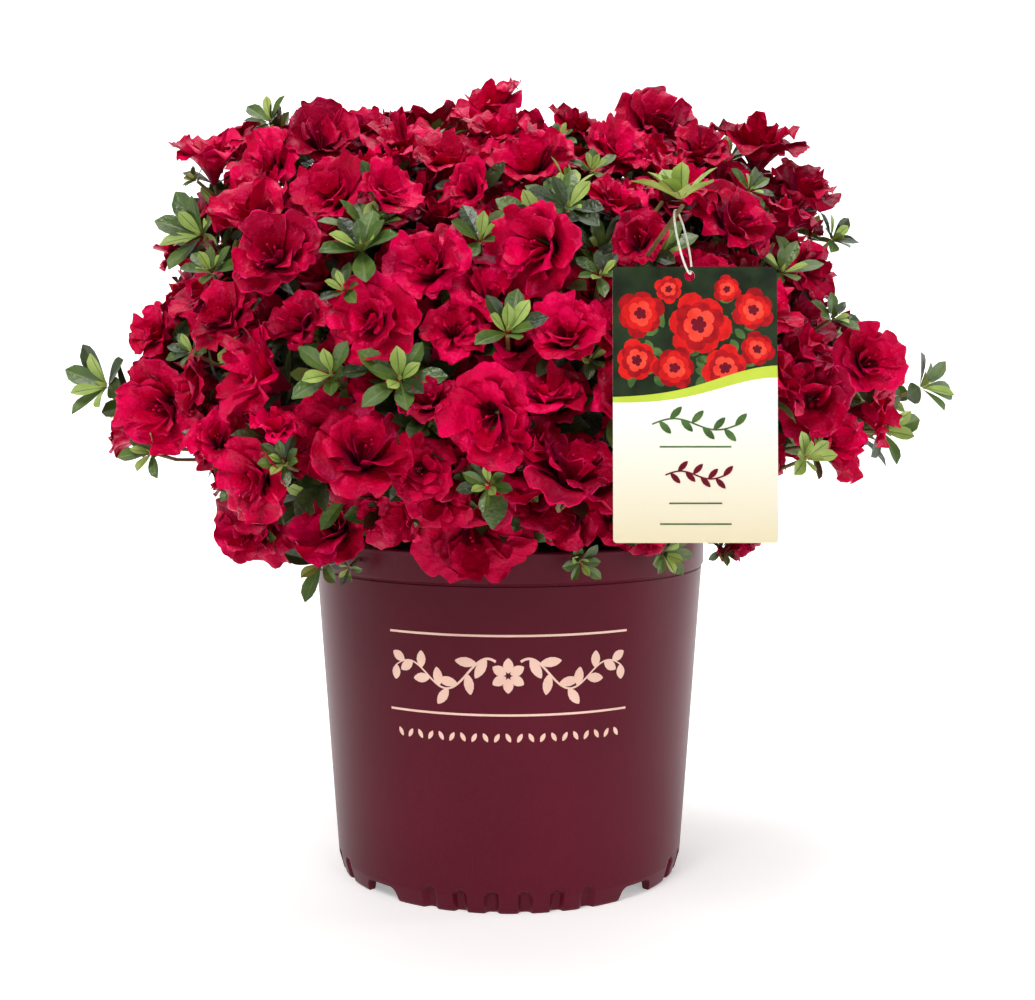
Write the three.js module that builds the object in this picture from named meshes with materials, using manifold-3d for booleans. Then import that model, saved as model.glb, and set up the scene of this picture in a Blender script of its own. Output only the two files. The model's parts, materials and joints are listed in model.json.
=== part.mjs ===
// Azalea shrub in full flower, standing in the nursery pot that it is sold in, with its plant tag.
// Millimetres, +Z up. The origin is on the floor under the middle of the pot, and the front faces -Y.
// The soil carries a short stem, the stem carries tapering boughs, and each bough carries one mass of
// twigs, leaf whorls and blossoms. The masses share the space of the crown out between them.

import * as THREE from "three";
import { mergeVertices } from "three/addons/utils/BufferGeometryUtils.js";
import Module from "manifold-3d";

const wasm = await Module();
wasm.setup();

// Room between neighbouring solids
const clearance = 0.3;

// Pot: a tapered wall with a plain band and a lip round its top, on four arched feet
const potHeight = 241;
const potRimRadius = 139.7;
const potBandHeight = 20;
const potShoulderRadius = 138.3;
const potHeelRadius = 124.4;
const potHeelHeight = 12;
const potFootRadius = 121.3;
const potFootWidth = 6;
const potFloorUnderside = 10.5;
const potWall = 2;
const potInnerHeelHeight = 26;
const potInnerHeelRadius = 123.4;
const potFloorRadius = 118.4;
const potSegments = 40;
const drainNotchWidth = 30;
const drainNotchCount = 4;
const fluteWidth = 8.6;
const fluteHeight = 13;
const fluteDepth = 2.2;
const flutePitch = THREE.MathUtils.degToRad(11.6);
const flutesPerFoot = 6;

// Potting mix and the short stem that stands on it
const soilTop = 215;
const stemHeight = 88;
const stemFlareRadius = 17;
const stemFlareHeight = 17;
const stemRadius = 12.5;
const stemTipRadius = 8.5;
const stemTipRound = 4;
const stemLean = new THREE.Vector2(4, 2);
const stemSides = 10;

// Boughs: where each tier leaves the stem, above the soil
const tierHeight = { lower: 17, upper: 38, top: 75 };
const boughRadius = 4.3;
const boughTipRadius = 3.8;
const boughSetOut = { lower: 0, upper: 0, top: 6.5 };
const boughStagger = 6;
const boughSides = 7;
const boughSteps = 4;
const boughSweep = 46;

// Crown: the heart is the point that every mass is measured from
const heart = new THREE.Vector3(0, 0, 300);
const boughShare = 0.38;
const branchShare = 0.68;
const valleyDepth = 0.06;
const valleyAngle = THREE.MathUtils.degToRad(30);
const blendSharpness = 14;
const undersideTaper = 2;
const crownUnderside = 216;
const potRoom = 8;

// One row for each mass: the azimuth and elevation of its bough in degrees, how far the mass reaches
// from the heart, how much further its leading shoot stands out, and what that shoot bears
const masses = [
  { name: "top_right", tier: "top", azimuth: 2, elevation: 54, reach: 284, lead: 4, tip: "blossom" },
  { name: "top_back", tier: "top", azimuth: 92, elevation: 64, reach: 262, lead: 6, tip: "leaves" },
  { name: "top_left", tier: "top", azimuth: 182, elevation: 48, reach: 304, lead: 6, tip: "blossom" },
  { name: "top_front", tier: "top", azimuth: 266, elevation: 66, reach: 238, lead: 4, tip: "blossom" },
  { name: "upper_left", tier: "upper", azimuth: 180, elevation: 27, reach: 288, lead: 6, tip: "leaves" },
  { name: "upper_front_left", tier: "upper", azimuth: 232, elevation: 27, reach: 282, lead: 4, tip: "blossom" },
  { name: "upper_front_right", tier: "upper", azimuth: 290, elevation: 27, reach: 282, lead: 4, tip: "blossom" },
  { name: "upper_right", tier: "upper", azimuth: 354, elevation: 31, reach: 290, lead: 8, tip: "leaves" },
  { name: "upper_back_right", tier: "upper", azimuth: 52, elevation: 29, reach: 288, lead: 4, tip: "blossom" },
  { name: "upper_back_left", tier: "upper", azimuth: 115, elevation: 28, reach: 288, lead: 6, tip: "leaves" },
  { name: "lower_left", tier: "lower", azimuth: 182, elevation: 7, reach: 290, lead: 28, tip: "leaves" },
  { name: "lower_front_left", tier: "lower", azimuth: 234, elevation: -2, reach: 280, lead: 4, tip: "blossom" },
  { name: "lower_front_right", tier: "lower", azimuth: 288, elevation: -2, reach: 280, lead: 4, tip: "blossom" },
  { name: "lower_right", tier: "lower", azimuth: 358, elevation: 9, reach: 288, lead: 34, tip: "leaves" },
  { name: "lower_back_right", tier: "lower", azimuth: 50, elevation: -1, reach: 284, lead: 6, tip: "leaves" },
  { name: "lower_back_left", tier: "lower", azimuth: 105, elevation: -1, reach: 288, lead: 10, tip: "blossom" },
];

// Shoots: spread over the crown by the golden angle, each ending in a blossom or a whorl of leaves
const seed = 4021;
const shootCount = 300;
const lowestShootSine = -0.34;
const goldenAngle = Math.PI * (3 - Math.sqrt(5));
const directionJitter = 0.07;
const depthJitter = 0.1;
const facingJitter = 0.45;
const facingLift = 0.22;
const blossomChance = 0.68;
const lowestBlossomSine = -0.3;
const crowdingShare = 0.58;
const largestShift = 46;
const settlePasses = 4;
const settleMargin = 0.1;
const sizeJitter = 0.1;

// Blossom: five lobes that open like a funnel, with lengths as shares of its radius
const blossomRadius = 37;
const blossomLobes = 5;
const lobeHalfAngle = 0.34;
const lobeReach = 0.96;
const lobeRise = 0.12;
const lobeWave = 0.07;
const lobeGapReach = 0.52;
const throatDepth = 0.3;
const blossomDepth = 0.55;
const blossomInset = 0.2;

// Whorl: pointed leaves that spread from the end of a shoot, with lengths as shares of a leaf
const leafLength = 45;
const leavesPerWhorl = 5;
const leafLengthSpread = 0.12;
const leafHalfAngle = 0.29;
const leafWidestAt = 0.56;
const leafGapReach = 0.13;
const leafRise = 0.42;
const leafRiseSpread = 0.28;
const leafArch = 0.6;
const budHeight = 0.06;
const whorlDepth = 0.12;
const whorlInset = 0.55;
const leadingWhorlInset = 0.72;

// Twigs and the branch that carries them in each mass
const branchRadius = 3.8;
const branchTipRadius = 3;
const branchSides = 5;
const twigRadius = 1.7;
const twigTipRadius = 1.5;
const twigSides = 3;
const shortTwigShare = 0.68;
const earliestTwig = 0.88;
const latestTwig = 0.08;
const twigSpread = 0.7;
const sharpestBend = 0.3;

// Plant tag: a thin card on a loop of string, hung in front of the crown and leaning a little forward
const tagWidth = 87.5;
const tagLength = 147;
const tagThickness = 0.8;
const tagCornerRadius = 2;
const tagTop = new THREE.Vector3(100.3, -276, 409);
const tagLean = THREE.MathUtils.degToRad(6.2);
const tagHoleRadius = 2.8;
const tagHoleMargin = 2;
const tagHoleOffset = -2.8;
const tagShootTip = new THREE.Vector3(94, -266, 446);
const tagShootLeafLength = 30;
const tagShootFacing = new THREE.Vector3(-0.2, -0.15, 1);
const tagShootRoom = 7;
const loopStringRadius = 0.6;
const loopHalfWidth = 5.2;
const loopTurn = THREE.MathUtils.degToRad(58);
const tagSeatRoom = 0.85;
const loopSteps = 24;
const loopSeat = 9;
const loopLift = 2.45;

// Looks
const burgundyPlastic = { color: 0x5c1b2c, roughness: 0.42, metalness: 0 };
const pottingMix = { color: 0x2b1d14, roughness: 0.95, metalness: 0 };
const bark = { color: 0x6b5138, roughness: 0.85, metalness: 0 };
const crimsonBlossom = { color: 0xb0002f, roughness: 0.55, metalness: 0 };
const greenLeaf = { color: 0x3f5c34, roughness: 0.5, metalness: 0 };
const tagCard = { color: 0xe9e2cf, roughness: 0.4, metalness: 0 };
const paleString = { color: 0xe8e2d2, roughness: 0.7, metalness: 0 };

const up = new THREE.Vector3(0, 0, 1);

// Basic tools for solids

function solidOf(geometry) {
  geometry.deleteAttribute("normal");
  geometry.deleteAttribute("uv");
  const merged = mergeVertices(geometry, 1e-4);
  const triangles = [];
  for (let i = 0; i < merged.index.count; i += 3) {
    const [a, b, c] = merged.index.array.slice(i, i + 3);
    if (a !== b && b !== c && c !== a) {
      triangles.push(a, b, c);
    }
  }
  return new wasm.Manifold(new wasm.Mesh({
    numProp: 3,
    vertProperties: new Float32Array(merged.attributes.position.array),
    triVerts: new Uint32Array(triangles),
  }));
}

function geometryOf(solid) {
  const mesh = solid.getMesh();
  const geometry = new THREE.BufferGeometry();
  geometry.setAttribute("position", new THREE.BufferAttribute(mesh.vertProperties, 3));
  geometry.setIndex(new THREE.BufferAttribute(mesh.triVerts, 1));
  geometry.computeVertexNormals();
  return geometry;
}

// Joins many solids, keeps the largest connected body, and so drops loose scraps and sealed hollows
function fuse(solids) {
  let joined = solids[0];
  for (const solid of solids.slice(1)) {
    joined = joined.add(solid);
  }
  const bodies = joined.simplify(0.02).decompose();
  return bodies.reduce((best, body) => (body.volume() > best.volume() ? body : best));
}

function namedMesh(name, geometry, look) {
  const mesh = new THREE.Mesh(geometry, new THREE.MeshStandardMaterial(look));
  mesh.name = name;
  return mesh;
}

// A lathe turns its profile about Y, so the result is stood up on Z
function turned(profile, segments) {
  const points = profile.map(([radius, height]) => new THREE.Vector2(radius, height));
  const geometry = new THREE.LatheGeometry(points, segments);
  geometry.rotateX(Math.PI / 2);
  return geometry;
}

// A round limb that follows a curve and tapers evenly from its base to its tip
function limbGeometry(curve, baseRadius, tipRadius, sides, steps) {
  const geometry = new THREE.CylinderGeometry(tipRadius, baseRadius, 1, sides, steps);
  const position = geometry.attributes.position;
  const chord = curve.getPoint(1).sub(curve.getPoint(0)).normalize();
  const reference = Math.abs(chord.z) < 0.8 ? up : new THREE.Vector3(1, 0, 0);
  for (let i = 0; i < position.count; i += 1) {
    const along = position.getY(i) + 0.5;
    const tangent = curve.getTangent(along);
    const side = new THREE.Vector3().crossVectors(reference, tangent).normalize();
    const third = new THREE.Vector3().crossVectors(side, tangent);
    const point = curve.getPoint(along);
    point.addScaledVector(side, position.getX(i));
    point.addScaledVector(third, position.getZ(i));
    position.setXYZ(i, point.x, point.y, point.z);
  }
  return geometry;
}

function straightLimb(start, end, baseRadius, tipRadius, sides) {
  return solidOf(limbGeometry(new THREE.LineCurve3(start, end), baseRadius, tipRadius, sides, 1));
}

// Three points round a centre, square to a direction, each on the side of its guide point
function twigRing(centre, direction, guides, radius) {
  return guides.map((guide) => {
    const outward = guide.clone();
    outward.addScaledVector(direction, -outward.dot(direction)).normalize();
    return centre.clone().addScaledVector(outward, radius);
  });
}

// One closed solid for a shoot: a twig with three sides that opens out into the back of its head
function shootGeometry(shape, start) {
  const { outline, front, neck, frame } = shape;
  const direction = neck.clone().sub(start).normalize();
  const guides = Array.from({ length: twigSides }, (_, i) => {
    const angle = (2 * Math.PI * (i + 0.5)) / twigSides;
    return frame.right.clone().multiplyScalar(Math.cos(angle)).addScaledVector(frame.top, Math.sin(angle));
  });
  const neckRing = twigRing(neck, frame.facing, guides, twigTipRadius);
  const startRing = twigRing(start, direction, guides, twigRadius);
  const count = outline.length;
  const frontIndex = count;
  const neckIndex = (i) => count + 1 + (i % twigSides);
  const startIndex = (i) => count + 1 + twigSides + (i % twigSides);
  const triangles = [];
  for (let i = 0; i < count; i += 1) {
    const next = (i + 1) % count;
    const sector = Math.floor((i * twigSides) / count);
    const nextSector = Math.floor(((i + 1) * twigSides) / count);
    triangles.push(frontIndex, i, next);
    triangles.push(neckIndex(sector), next, i);
    if (nextSector !== sector) {
      triangles.push(next, neckIndex(sector), neckIndex(nextSector));
    }
  }
  for (let i = 0; i < twigSides; i += 1) {
    triangles.push(startIndex(i), startIndex(i + 1), neckIndex(i + 1));
    triangles.push(startIndex(i), neckIndex(i + 1), neckIndex(i));
  }
  triangles.push(startIndex(2), startIndex(1), startIndex(0));
  const geometry = new THREE.BufferGeometry().setFromPoints([...outline, front, ...neckRing, ...startRing]);
  geometry.setIndex(triangles);
  return geometry;
}

// Chance: an even number from 0 to 1 that depends only on the shoot and on what it is used for

const use = {
  bend: 1, turn: 2, kind: 3, depth: 4, tiltX: 5, tiltY: 6, tiltZ: 7, roll: 8, size: 9, edge: 20, rise: 30,
};

function chance(shoot, purpose) {
  let bits = Math.imul(shoot + seed, 374761393) + Math.imul(purpose, 668265263);
  bits = Math.imul(bits ^ (bits >>> 13), 1274126177);
  return ((bits ^ (bits >>> 16)) >>> 0) / 4294967296;
}

function spread(shoot, purpose) {
  return 2 * chance(shoot, purpose) - 1;
}

// Directions and the outline of the crown

function directionAt(azimuth, elevation) {
  return new THREE.Vector3(
    Math.cos(azimuth) * Math.cos(elevation),
    Math.sin(azimuth) * Math.cos(elevation),
    Math.sin(elevation),
  );
}

function axisOf(mass) {
  return directionAt(THREE.MathUtils.degToRad(mass.azimuth), THREE.MathUtils.degToRad(mass.elevation));
}

const axes = masses.map(axisOf);

function nearestMass(direction) {
  const closeness = axes.map((axis) => axis.dot(direction));
  return closeness.indexOf(Math.max(...closeness));
}

// How far the crown reaches in a direction: the masses' reaches blended, with a valley between masses,
// and drawn in towards the pot below the horizontal
function crownReach(direction) {
  let weighted = 0;
  let weights = 0;
  let closest = -1;
  axes.forEach((axis, index) => {
    const closeness = axis.dot(direction);
    const weight = Math.exp(blendSharpness * (closeness - 1));
    weighted += weight * masses[index].reach;
    weights += weight;
    closest = Math.max(closest, closeness);
  });
  const away = Math.acos(Math.min(1, closest)) / valleyAngle;
  const underside = 1 / (1 + undersideTaper * Math.max(0, -direction.z));
  return (weighted / weights) * (1 - valleyDepth * away * away) * underside;
}

// The flat limits of a mass's own space: halfway planes to the other masses, the underside of the
// crown, and the plane that the tag hangs in
function limitsOf(massIndex) {
  const limits = [{ normal: up, distance: crownUnderside }];
  axes.forEach((axis, index) => {
    if (index !== massIndex) {
      const normal = axes[massIndex].clone().sub(axis).normalize();
      limits.push({ normal, distance: normal.dot(heart) + clearance });
    }
  });
  const behindTag = new THREE.Vector3(0, Math.cos(tagLean), -Math.sin(tagLean));
  limits.push({ normal: behindTag, distance: behindTag.dot(tagTop) + 2 * tagThickness });
  return limits;
}

// Blossoms and whorls, as outlines round a facing direction

function frameOf(facing, roll) {
  const reference = Math.abs(facing.z) < 0.9 ? up : new THREE.Vector3(1, 0, 0);
  const side = new THREE.Vector3().crossVectors(reference, facing).normalize();
  const over = new THREE.Vector3().crossVectors(facing, side);
  const right = side.clone().multiplyScalar(Math.cos(roll)).addScaledVector(over, Math.sin(roll));
  const top = new THREE.Vector3().crossVectors(facing, right);
  return { right, top, facing };
}

function placedPoint(head, radius, angle, height) {
  return head.centre.clone()
    .addScaledVector(head.frame.right, radius * Math.cos(angle))
    .addScaledVector(head.frame.top, radius * Math.sin(angle))
    .addScaledVector(head.frame.facing, height);
}

function blossomShape(head) {
  const { size } = head;
  const pitch = (2 * Math.PI) / blossomLobes;
  const outline = [];
  for (let lobe = 0; lobe < blossomLobes; lobe += 1) {
    const gapAngle = pitch * lobe;
    const middle = gapAngle + pitch / 2;
    const wave = lobeWave * spread(head.shoot, use.edge + lobe);
    const [near, far] = [(lobeReach - wave) * size, (lobeReach + wave) * size];
    const [low, high] = [(lobeRise - wave) * size, (lobeRise + wave) * size];
    outline.push(placedPoint(head, lobeGapReach * size, gapAngle, 0));
    outline.push(placedPoint(head, far, middle - lobeHalfAngle, low));
    outline.push(placedPoint(head, near, middle + lobeHalfAngle, high));
  }
  const front = placedPoint(head, 0, 0, -throatDepth * size);
  const neck = placedPoint(head, 0, 0, -blossomDepth * size);
  return { outline, front, neck, frame: head.frame };
}

function whorlShape(head) {
  const pitch = (2 * Math.PI) / leavesPerWhorl;
  const outline = [];
  for (let leaf = 0; leaf < leavesPerWhorl; leaf += 1) {
    const gapAngle = pitch * leaf;
    const middle = gapAngle + pitch / 2;
    const length = head.size * (1 + leafLengthSpread * spread(head.shoot, use.edge + leaf));
    const rise = (leafRise + leafRiseSpread * spread(head.shoot, use.rise + leaf)) * length;
    outline.push(placedPoint(head, leafGapReach * length, gapAngle, 0));
    outline.push(placedPoint(head, leafWidestAt * length, middle - leafHalfAngle, leafArch * rise));
    outline.push(placedPoint(head, length, middle, rise));
    outline.push(placedPoint(head, leafWidestAt * length, middle + leafHalfAngle, leafArch * rise));
  }
  const front = placedPoint(head, 0, 0, budHeight * head.size);
  const neck = placedPoint(head, 0, 0, -whorlDepth * head.size);
  return { outline, front, neck, frame: head.frame };
}

function headShape(head) {
  return head.kind === "blossom" ? blossomShape(head) : whorlShape(head);
}

function headPoints(head) {
  const { outline, front, neck } = headShape(head);
  return [...outline, front, neck];
}

// Keeping to the space of the mass

function lowestOver(points, limit) {
  return Math.min(...points.map((point) => limit.normal.dot(point))) - limit.distance;
}

// Pushes a head back behind every limit that it crosses, and says whether it then fits
function settle(head, limits) {
  const start = head.centre.clone();
  for (let pass = 0; pass < settlePasses; pass += 1) {
    pushFromPot(head);
    for (const limit of limits) {
      const over = lowestOver(headPoints(head), limit);
      if (over < 0) {
        head.centre.addScaledVector(limit.normal, settleMargin - over);
      }
    }
  }
  const points = headPoints(head);
  const inside = limits.every((limit) => lowestOver(points, limit) >= 0);
  return inside && start.distanceTo(head.centre) < largestShift && depthInPot(points) === 0;
}

// Points by the pot stay outside its lip or well above it: this is how far they are inside it
function depthInPot(points) {
  const depths = points.map((point) => {
    const low = point.z < potHeight + potRoom;
    return low ? potRimRadius + potRoom - Math.hypot(point.x, point.y) : 0;
  });
  return Math.max(0, ...depths);
}

// Moves a head straight out from the pot until it hangs clear of the lip
function pushFromPot(head) {
  const depth = depthInPot(headPoints(head));
  if (depth > 0) {
    const outward = new THREE.Vector3(head.centre.x, head.centre.y, 0).normalize();
    head.centre.addScaledVector(outward, depth + settleMargin);
  }
}

// The card hangs down along this direction, from the top edge of its hole
const tagAlong = new THREE.Vector3(0, -Math.sin(tagLean), -Math.cos(tagLean));
const tagHoleTop = tagTop.clone()
  .add(new THREE.Vector3(tagHoleOffset, 0, 0))
  .addScaledVector(tagAlong, tagHoleMargin);

// One mass: the branch that grows on from its bough, and its shoots

function boughTip(massIndex) {
  return heart.clone().addScaledVector(axes[massIndex], boughShare * masses[massIndex].reach);
}

function branchTip(massIndex) {
  return heart.clone().addScaledVector(axes[massIndex], branchShare * masses[massIndex].reach);
}

function usualSize(kind) {
  return kind === "blossom" ? blossomRadius : leafLength;
}

// A head a little inside the outline of the crown, facing out and up with some tilt of its own
function headOf(shoot, direction, kind) {
  const size = usualSize(kind) * (1 + sizeJitter * spread(shoot, use.size));
  const facing = direction.clone().addScaledVector(up, facingLift);
  facing.x += facingJitter * spread(shoot, use.tiltX);
  facing.y += facingJitter * spread(shoot, use.tiltY);
  facing.z += facingJitter * spread(shoot, use.tiltZ);
  facing.normalize();
  const inset = (kind === "blossom" ? blossomInset : whorlInset) * size;
  const reach = crownReach(direction) * (1 - depthJitter * chance(shoot, use.depth));
  const centre = heart.clone().addScaledVector(direction, reach - inset);
  return { shoot, kind, size, centre, frame: frameOf(facing, 2 * Math.PI * chance(shoot, use.roll)) };
}

// The shoot at the furthest tip of a mass faces straight out
function leadingHead(massIndex) {
  const { tip, reach, lead } = masses[massIndex];
  const size = usualSize(tip);
  const inset = (tip === "blossom" ? blossomInset : leadingWhorlInset) * size;
  const centre = heart.clone().addScaledVector(axes[massIndex], reach + lead - inset);
  return { shoot: shootCount + massIndex, kind: tip, size, centre, frame: frameOf(axes[massIndex], 0) };
}

function shootDirection(shoot) {
  const sine = 1 - ((shoot + 0.5) / shootCount) * (1 - lowestShootSine);
  const elevation = Math.asin(sine) + directionJitter * spread(shoot, use.bend);
  const azimuth = shoot * goldenAngle + directionJitter * spread(shoot, use.turn) / Math.cos(elevation);
  return directionAt(azimuth, elevation);
}

function shootHead(shoot) {
  const direction = shootDirection(shoot);
  const blossoms = chance(shoot, use.kind) < blossomChance && direction.z > lowestBlossomSine;
  return headOf(shoot, direction, blossoms ? "blossom" : "leaves");
}

function tagShootHead() {
  return {
    shoot: shootCount + masses.length,
    kind: "leaves",
    size: tagShootLeafLength,
    centre: tagShootTip.clone(),
    frame: frameOf(tagShootFacing.clone().normalize(), 0),
  };
}

// Where a twig leaves the branch: shoots far from the axis, and short ones, leave it early
function twigStart(massIndex, target) {
  const { reach } = masses[massIndex];
  const run = target.clone().sub(heart);
  const away = run.angleTo(axes[massIndex]) / valleyAngle;
  const early = Math.min(latestTwig + twigSpread * away, earliestTwig);
  const wanted = THREE.MathUtils.lerp(branchShare, boughShare, early) * reach;
  const along = Math.min(wanted, shortTwigShare * run.dot(axes[massIndex]));
  const least = boughShare * reach + 2 * branchRadius;
  return heart.clone().addScaledVector(axes[massIndex], Math.max(along, least));
}

// A head faces more or less the way that its twig runs
function bendsGently(head, massIndex) {
  const { neck } = headShape(head);
  const run = neck.clone().sub(twigStart(massIndex, neck)).normalize();
  return run.dot(head.frame.facing) > sharpestBend;
}

// Other heads keep off the string that runs from the hole in the card up to the tag's own shoot
function clearOfLoop(head) {
  const line = new THREE.Line3(tagHoleTop, tagShootTip);
  const nearest = line.closestPointToPoint(head.centre, true, new THREE.Vector3());
  return nearest.distanceTo(head.centre) > head.size + tagShootRoom;
}

// Two heads of one mass may touch, but neither hides most of the other
function crowds(head, other) {
  return head.centre.distanceTo(other.centre) < crowdingShare * (breadthOf(head) + breadthOf(other));
}

function breadthOf(head) {
  return head.kind === "blossom" ? head.size : 0.6 * head.size;
}

// Grows the heads of every mass, leaving out those that don't fit
function growCrown() {
  const grown = masses.map(() => []);
  const limits = masses.map((_, index) => limitsOf(index));
  const tagMass = nearestMass(tagShootTip.clone().sub(heart).normalize());
  grown[tagMass].push(tagShootHead());
  masses.forEach((_, index) => {
    const head = leadingHead(index);
    if (settle(head, limits[index])) {
      grown[index].push(head);
    }
  });
  for (let shoot = 0; shoot < shootCount; shoot += 1) {
    const head = shootHead(shoot);
    const massIndex = nearestMass(shootDirection(shoot));
    const fits = settle(head, limits[massIndex]) && clearOfLoop(head) && bendsGently(head, massIndex);
    const crowded = grown[massIndex].some((other) => crowds(head, other));
    if (fits && !crowded) {
      grown[massIndex].push(head);
    }
  }
  return { grown, tagMass };
}

// Pot

function potProfile() {
  const bandBottom = potHeight - potBandHeight;
  return [
    [0, potFloorUnderside],
    [potFootRadius - potFootWidth, potFloorUnderside],
    [potFootRadius - potFootWidth, 0],
    [potFootRadius, 0],
    [potHeelRadius, potHeelHeight],
    [potShoulderRadius, bandBottom - 1],
    [potRimRadius, bandBottom],
    [potRimRadius, potHeight - 4.5],
    [potRimRadius + 0.9, potHeight - 3.2],
    [potRimRadius - 0.4, potHeight],
    [potRimRadius - 2.4, potHeight],
    [potShoulderRadius - potWall, bandBottom - 1],
    [potInnerHeelRadius, potInnerHeelHeight],
    [potFloorRadius, potFloorUnderside + potWall],
    [0, potFloorUnderside + potWall],
  ];
}

// A drain notch runs under the foot ring from side to side
function drainNotch(angle) {
  const reach = 2 * potFootWidth + 4;
  const geometry = new THREE.BoxGeometry(reach, drainNotchWidth, 2 * potFloorUnderside - 0.02);
  geometry.translate(potFootRadius - 0.5 * potFootWidth, 0, 0);
  geometry.rotateZ(angle);
  return solidOf(geometry);
}

// An arched flute is pressed into the outside of the heel, leaning with it
function flute(angle) {
  const half = fluteWidth / 2;
  const shape = new THREE.Shape();
  shape.moveTo(-half, -2);
  shape.lineTo(half, -2);
  shape.lineTo(half, fluteHeight - half);
  shape.absarc(0, fluteHeight - half, half, 0, Math.PI, false);
  const geometry = new THREE.ExtrudeGeometry(shape, { depth: 12, bevelEnabled: false, curveSegments: 2 });
  geometry.rotateX(Math.PI / 2);
  geometry.rotateZ(Math.PI / 2);
  geometry.rotateY(Math.atan2(potHeelRadius - potFootRadius, fluteHeight));
  geometry.translate(potFootRadius - fluteDepth, 0, 0);
  geometry.rotateZ(angle);
  return solidOf(geometry);
}

function potMesh() {
  let solid = solidOf(turned(potProfile(), potSegments));
  const footAngle = (2 * Math.PI) / drainNotchCount;
  for (let foot = 0; foot < drainNotchCount; foot += 1) {
    solid = solid.subtract(drainNotch((foot + 0.5) * footAngle));
    for (let i = 0; i < flutesPerFoot; i += 1) {
      solid = solid.subtract(flute(foot * footAngle + (i - (flutesPerFoot - 1) / 2) * flutePitch));
    }
  }
  return namedMesh("pot", geometryOf(solid.simplify(0.01)), burgundyPlastic);
}

// The potting mix fills the pot up to a flat top, a little clear of the wall
function soilMesh() {
  const floor = potFloorUnderside + potWall + clearance;
  const wallTop = potHeight - potBandHeight - 1;
  const share = (soilTop - potInnerHeelHeight) / (wallTop - potInnerHeelHeight);
  const topRadius = THREE.MathUtils.lerp(potInnerHeelRadius, potShoulderRadius - potWall, share);
  const profile = [
    [0, floor],
    [potFloorRadius - 3 * clearance, floor],
    [potInnerHeelRadius - 3 * clearance, potInnerHeelHeight],
    [topRadius - 2 * clearance, soilTop],
    [0, soilTop],
  ];
  return namedMesh("potting_mix", geometryOf(solidOf(turned(profile, potSegments / 2))), pottingMix);
}

// Stem and boughs

// The stem flares at its foot and is round at its tip, and can be made a little larger all over
function stemProfile(extra) {
  return [
    [0, 0],
    [stemFlareRadius + extra, 0],
    [0.7 * stemRadius + 0.3 * stemFlareRadius + extra, 0.4 * stemFlareHeight],
    [stemRadius + extra, stemFlareHeight],
    [stemTipRadius + extra, stemHeight - stemTipRound],
    [stemTipRadius - stemTipRound + extra, stemHeight + extra],
    [0, stemHeight + extra],
  ];
}

// The stem leans evenly from its flat cut on the soil to its tip
function stemSolid(extra) {
  const geometry = turned(stemProfile(extra), stemSides);
  const position = geometry.attributes.position;
  for (let i = 0; i < position.count; i += 1) {
    const height = position.getZ(i);
    const share = height / stemHeight;
    position.setXYZ(
      i,
      position.getX(i) + stemLean.x * share,
      position.getY(i) + stemLean.y * share,
      height + soilTop + clearance,
    );
  }
  return solidOf(geometry);
}

// A bough leaves the stem at its tier, rises, and ends along the axis of its mass
function boughCurve(massIndex) {
  const { tier, azimuth } = masses[massIndex];
  const height = tierHeight[tier] + boughStagger * (massIndex % 2);
  const share = height / stemHeight;
  const start = new THREE.Vector3(stemLean.x * share, stemLean.y * share, soilTop + height);
  start.addScaledVector(directionAt(THREE.MathUtils.degToRad(azimuth), 0), boughSetOut[tier]);
  const end = boughTip(massIndex);
  const control = end.clone().addScaledVector(axes[massIndex], -boughSweep);
  return new THREE.QuadraticBezierCurve3(start, control, end);
}

function boughMesh(massIndex, stem) {
  const whole = limbGeometry(boughCurve(massIndex), boughRadius, boughTipRadius, boughSides, boughSteps);
  const solid = fuse([solidOf(whole).subtract(stem)]);
  return namedMesh(`bough_${masses[massIndex].name}`, geometryOf(solid), bark);
}

function massMesh(massIndex, heads) {
  const axis = axes[massIndex];
  const base = boughTip(massIndex).addScaledVector(axis, clearance);
  const solids = [straightLimb(base, branchTip(massIndex), branchRadius, branchTipRadius, branchSides)];
  for (const head of heads) {
    const shape = headShape(head);
    solids.push(solidOf(shootGeometry(shape, twigStart(massIndex, shape.neck))));
  }
  const look = masses[massIndex].tip === "blossom" ? crimsonBlossom : greenLeaf;
  return namedMesh(`mass_${masses[massIndex].name}`, geometryOf(fuse(solids)), look);
}

// Tag

function roundedCard() {
  const shape = new THREE.Shape();
  const x = tagWidth / 2;
  const r = tagCornerRadius;
  shape.moveTo(-x + r, -tagLength);
  shape.lineTo(x - r, -tagLength);
  shape.absarc(x - r, -tagLength + r, r, -Math.PI / 2, 0, false);
  shape.lineTo(x, -r);
  shape.absarc(x - r, -r, r, 0, Math.PI / 2, false);
  shape.lineTo(-x + r, 0);
  shape.absarc(-x + r, -r, r, Math.PI / 2, Math.PI, false);
  shape.lineTo(-x, -tagLength + r);
  shape.absarc(-x + r, -tagLength + r, r, Math.PI, 1.5 * Math.PI, false);
  const hole = new THREE.Path();
  hole.absarc(tagHoleOffset, -tagHoleMargin - tagHoleRadius, tagHoleRadius, 0, 2 * Math.PI, true);
  shape.holes.push(new THREE.Path(hole.getPoints(8)));
  return shape;
}

function tagCardMesh() {
  const geometry = new THREE.ExtrudeGeometry(roundedCard(), {
    depth: tagThickness,
    bevelEnabled: false,
    curveSegments: 2,
  });
  geometry.translate(0, 0, -tagThickness / 2);
  geometry.rotateX(Math.PI / 2 - tagLean);
  geometry.translate(tagTop.x, tagTop.y, tagTop.z);
  return namedMesh("tag_card", geometryOf(solidOf(geometry)), tagCard);
}

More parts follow.
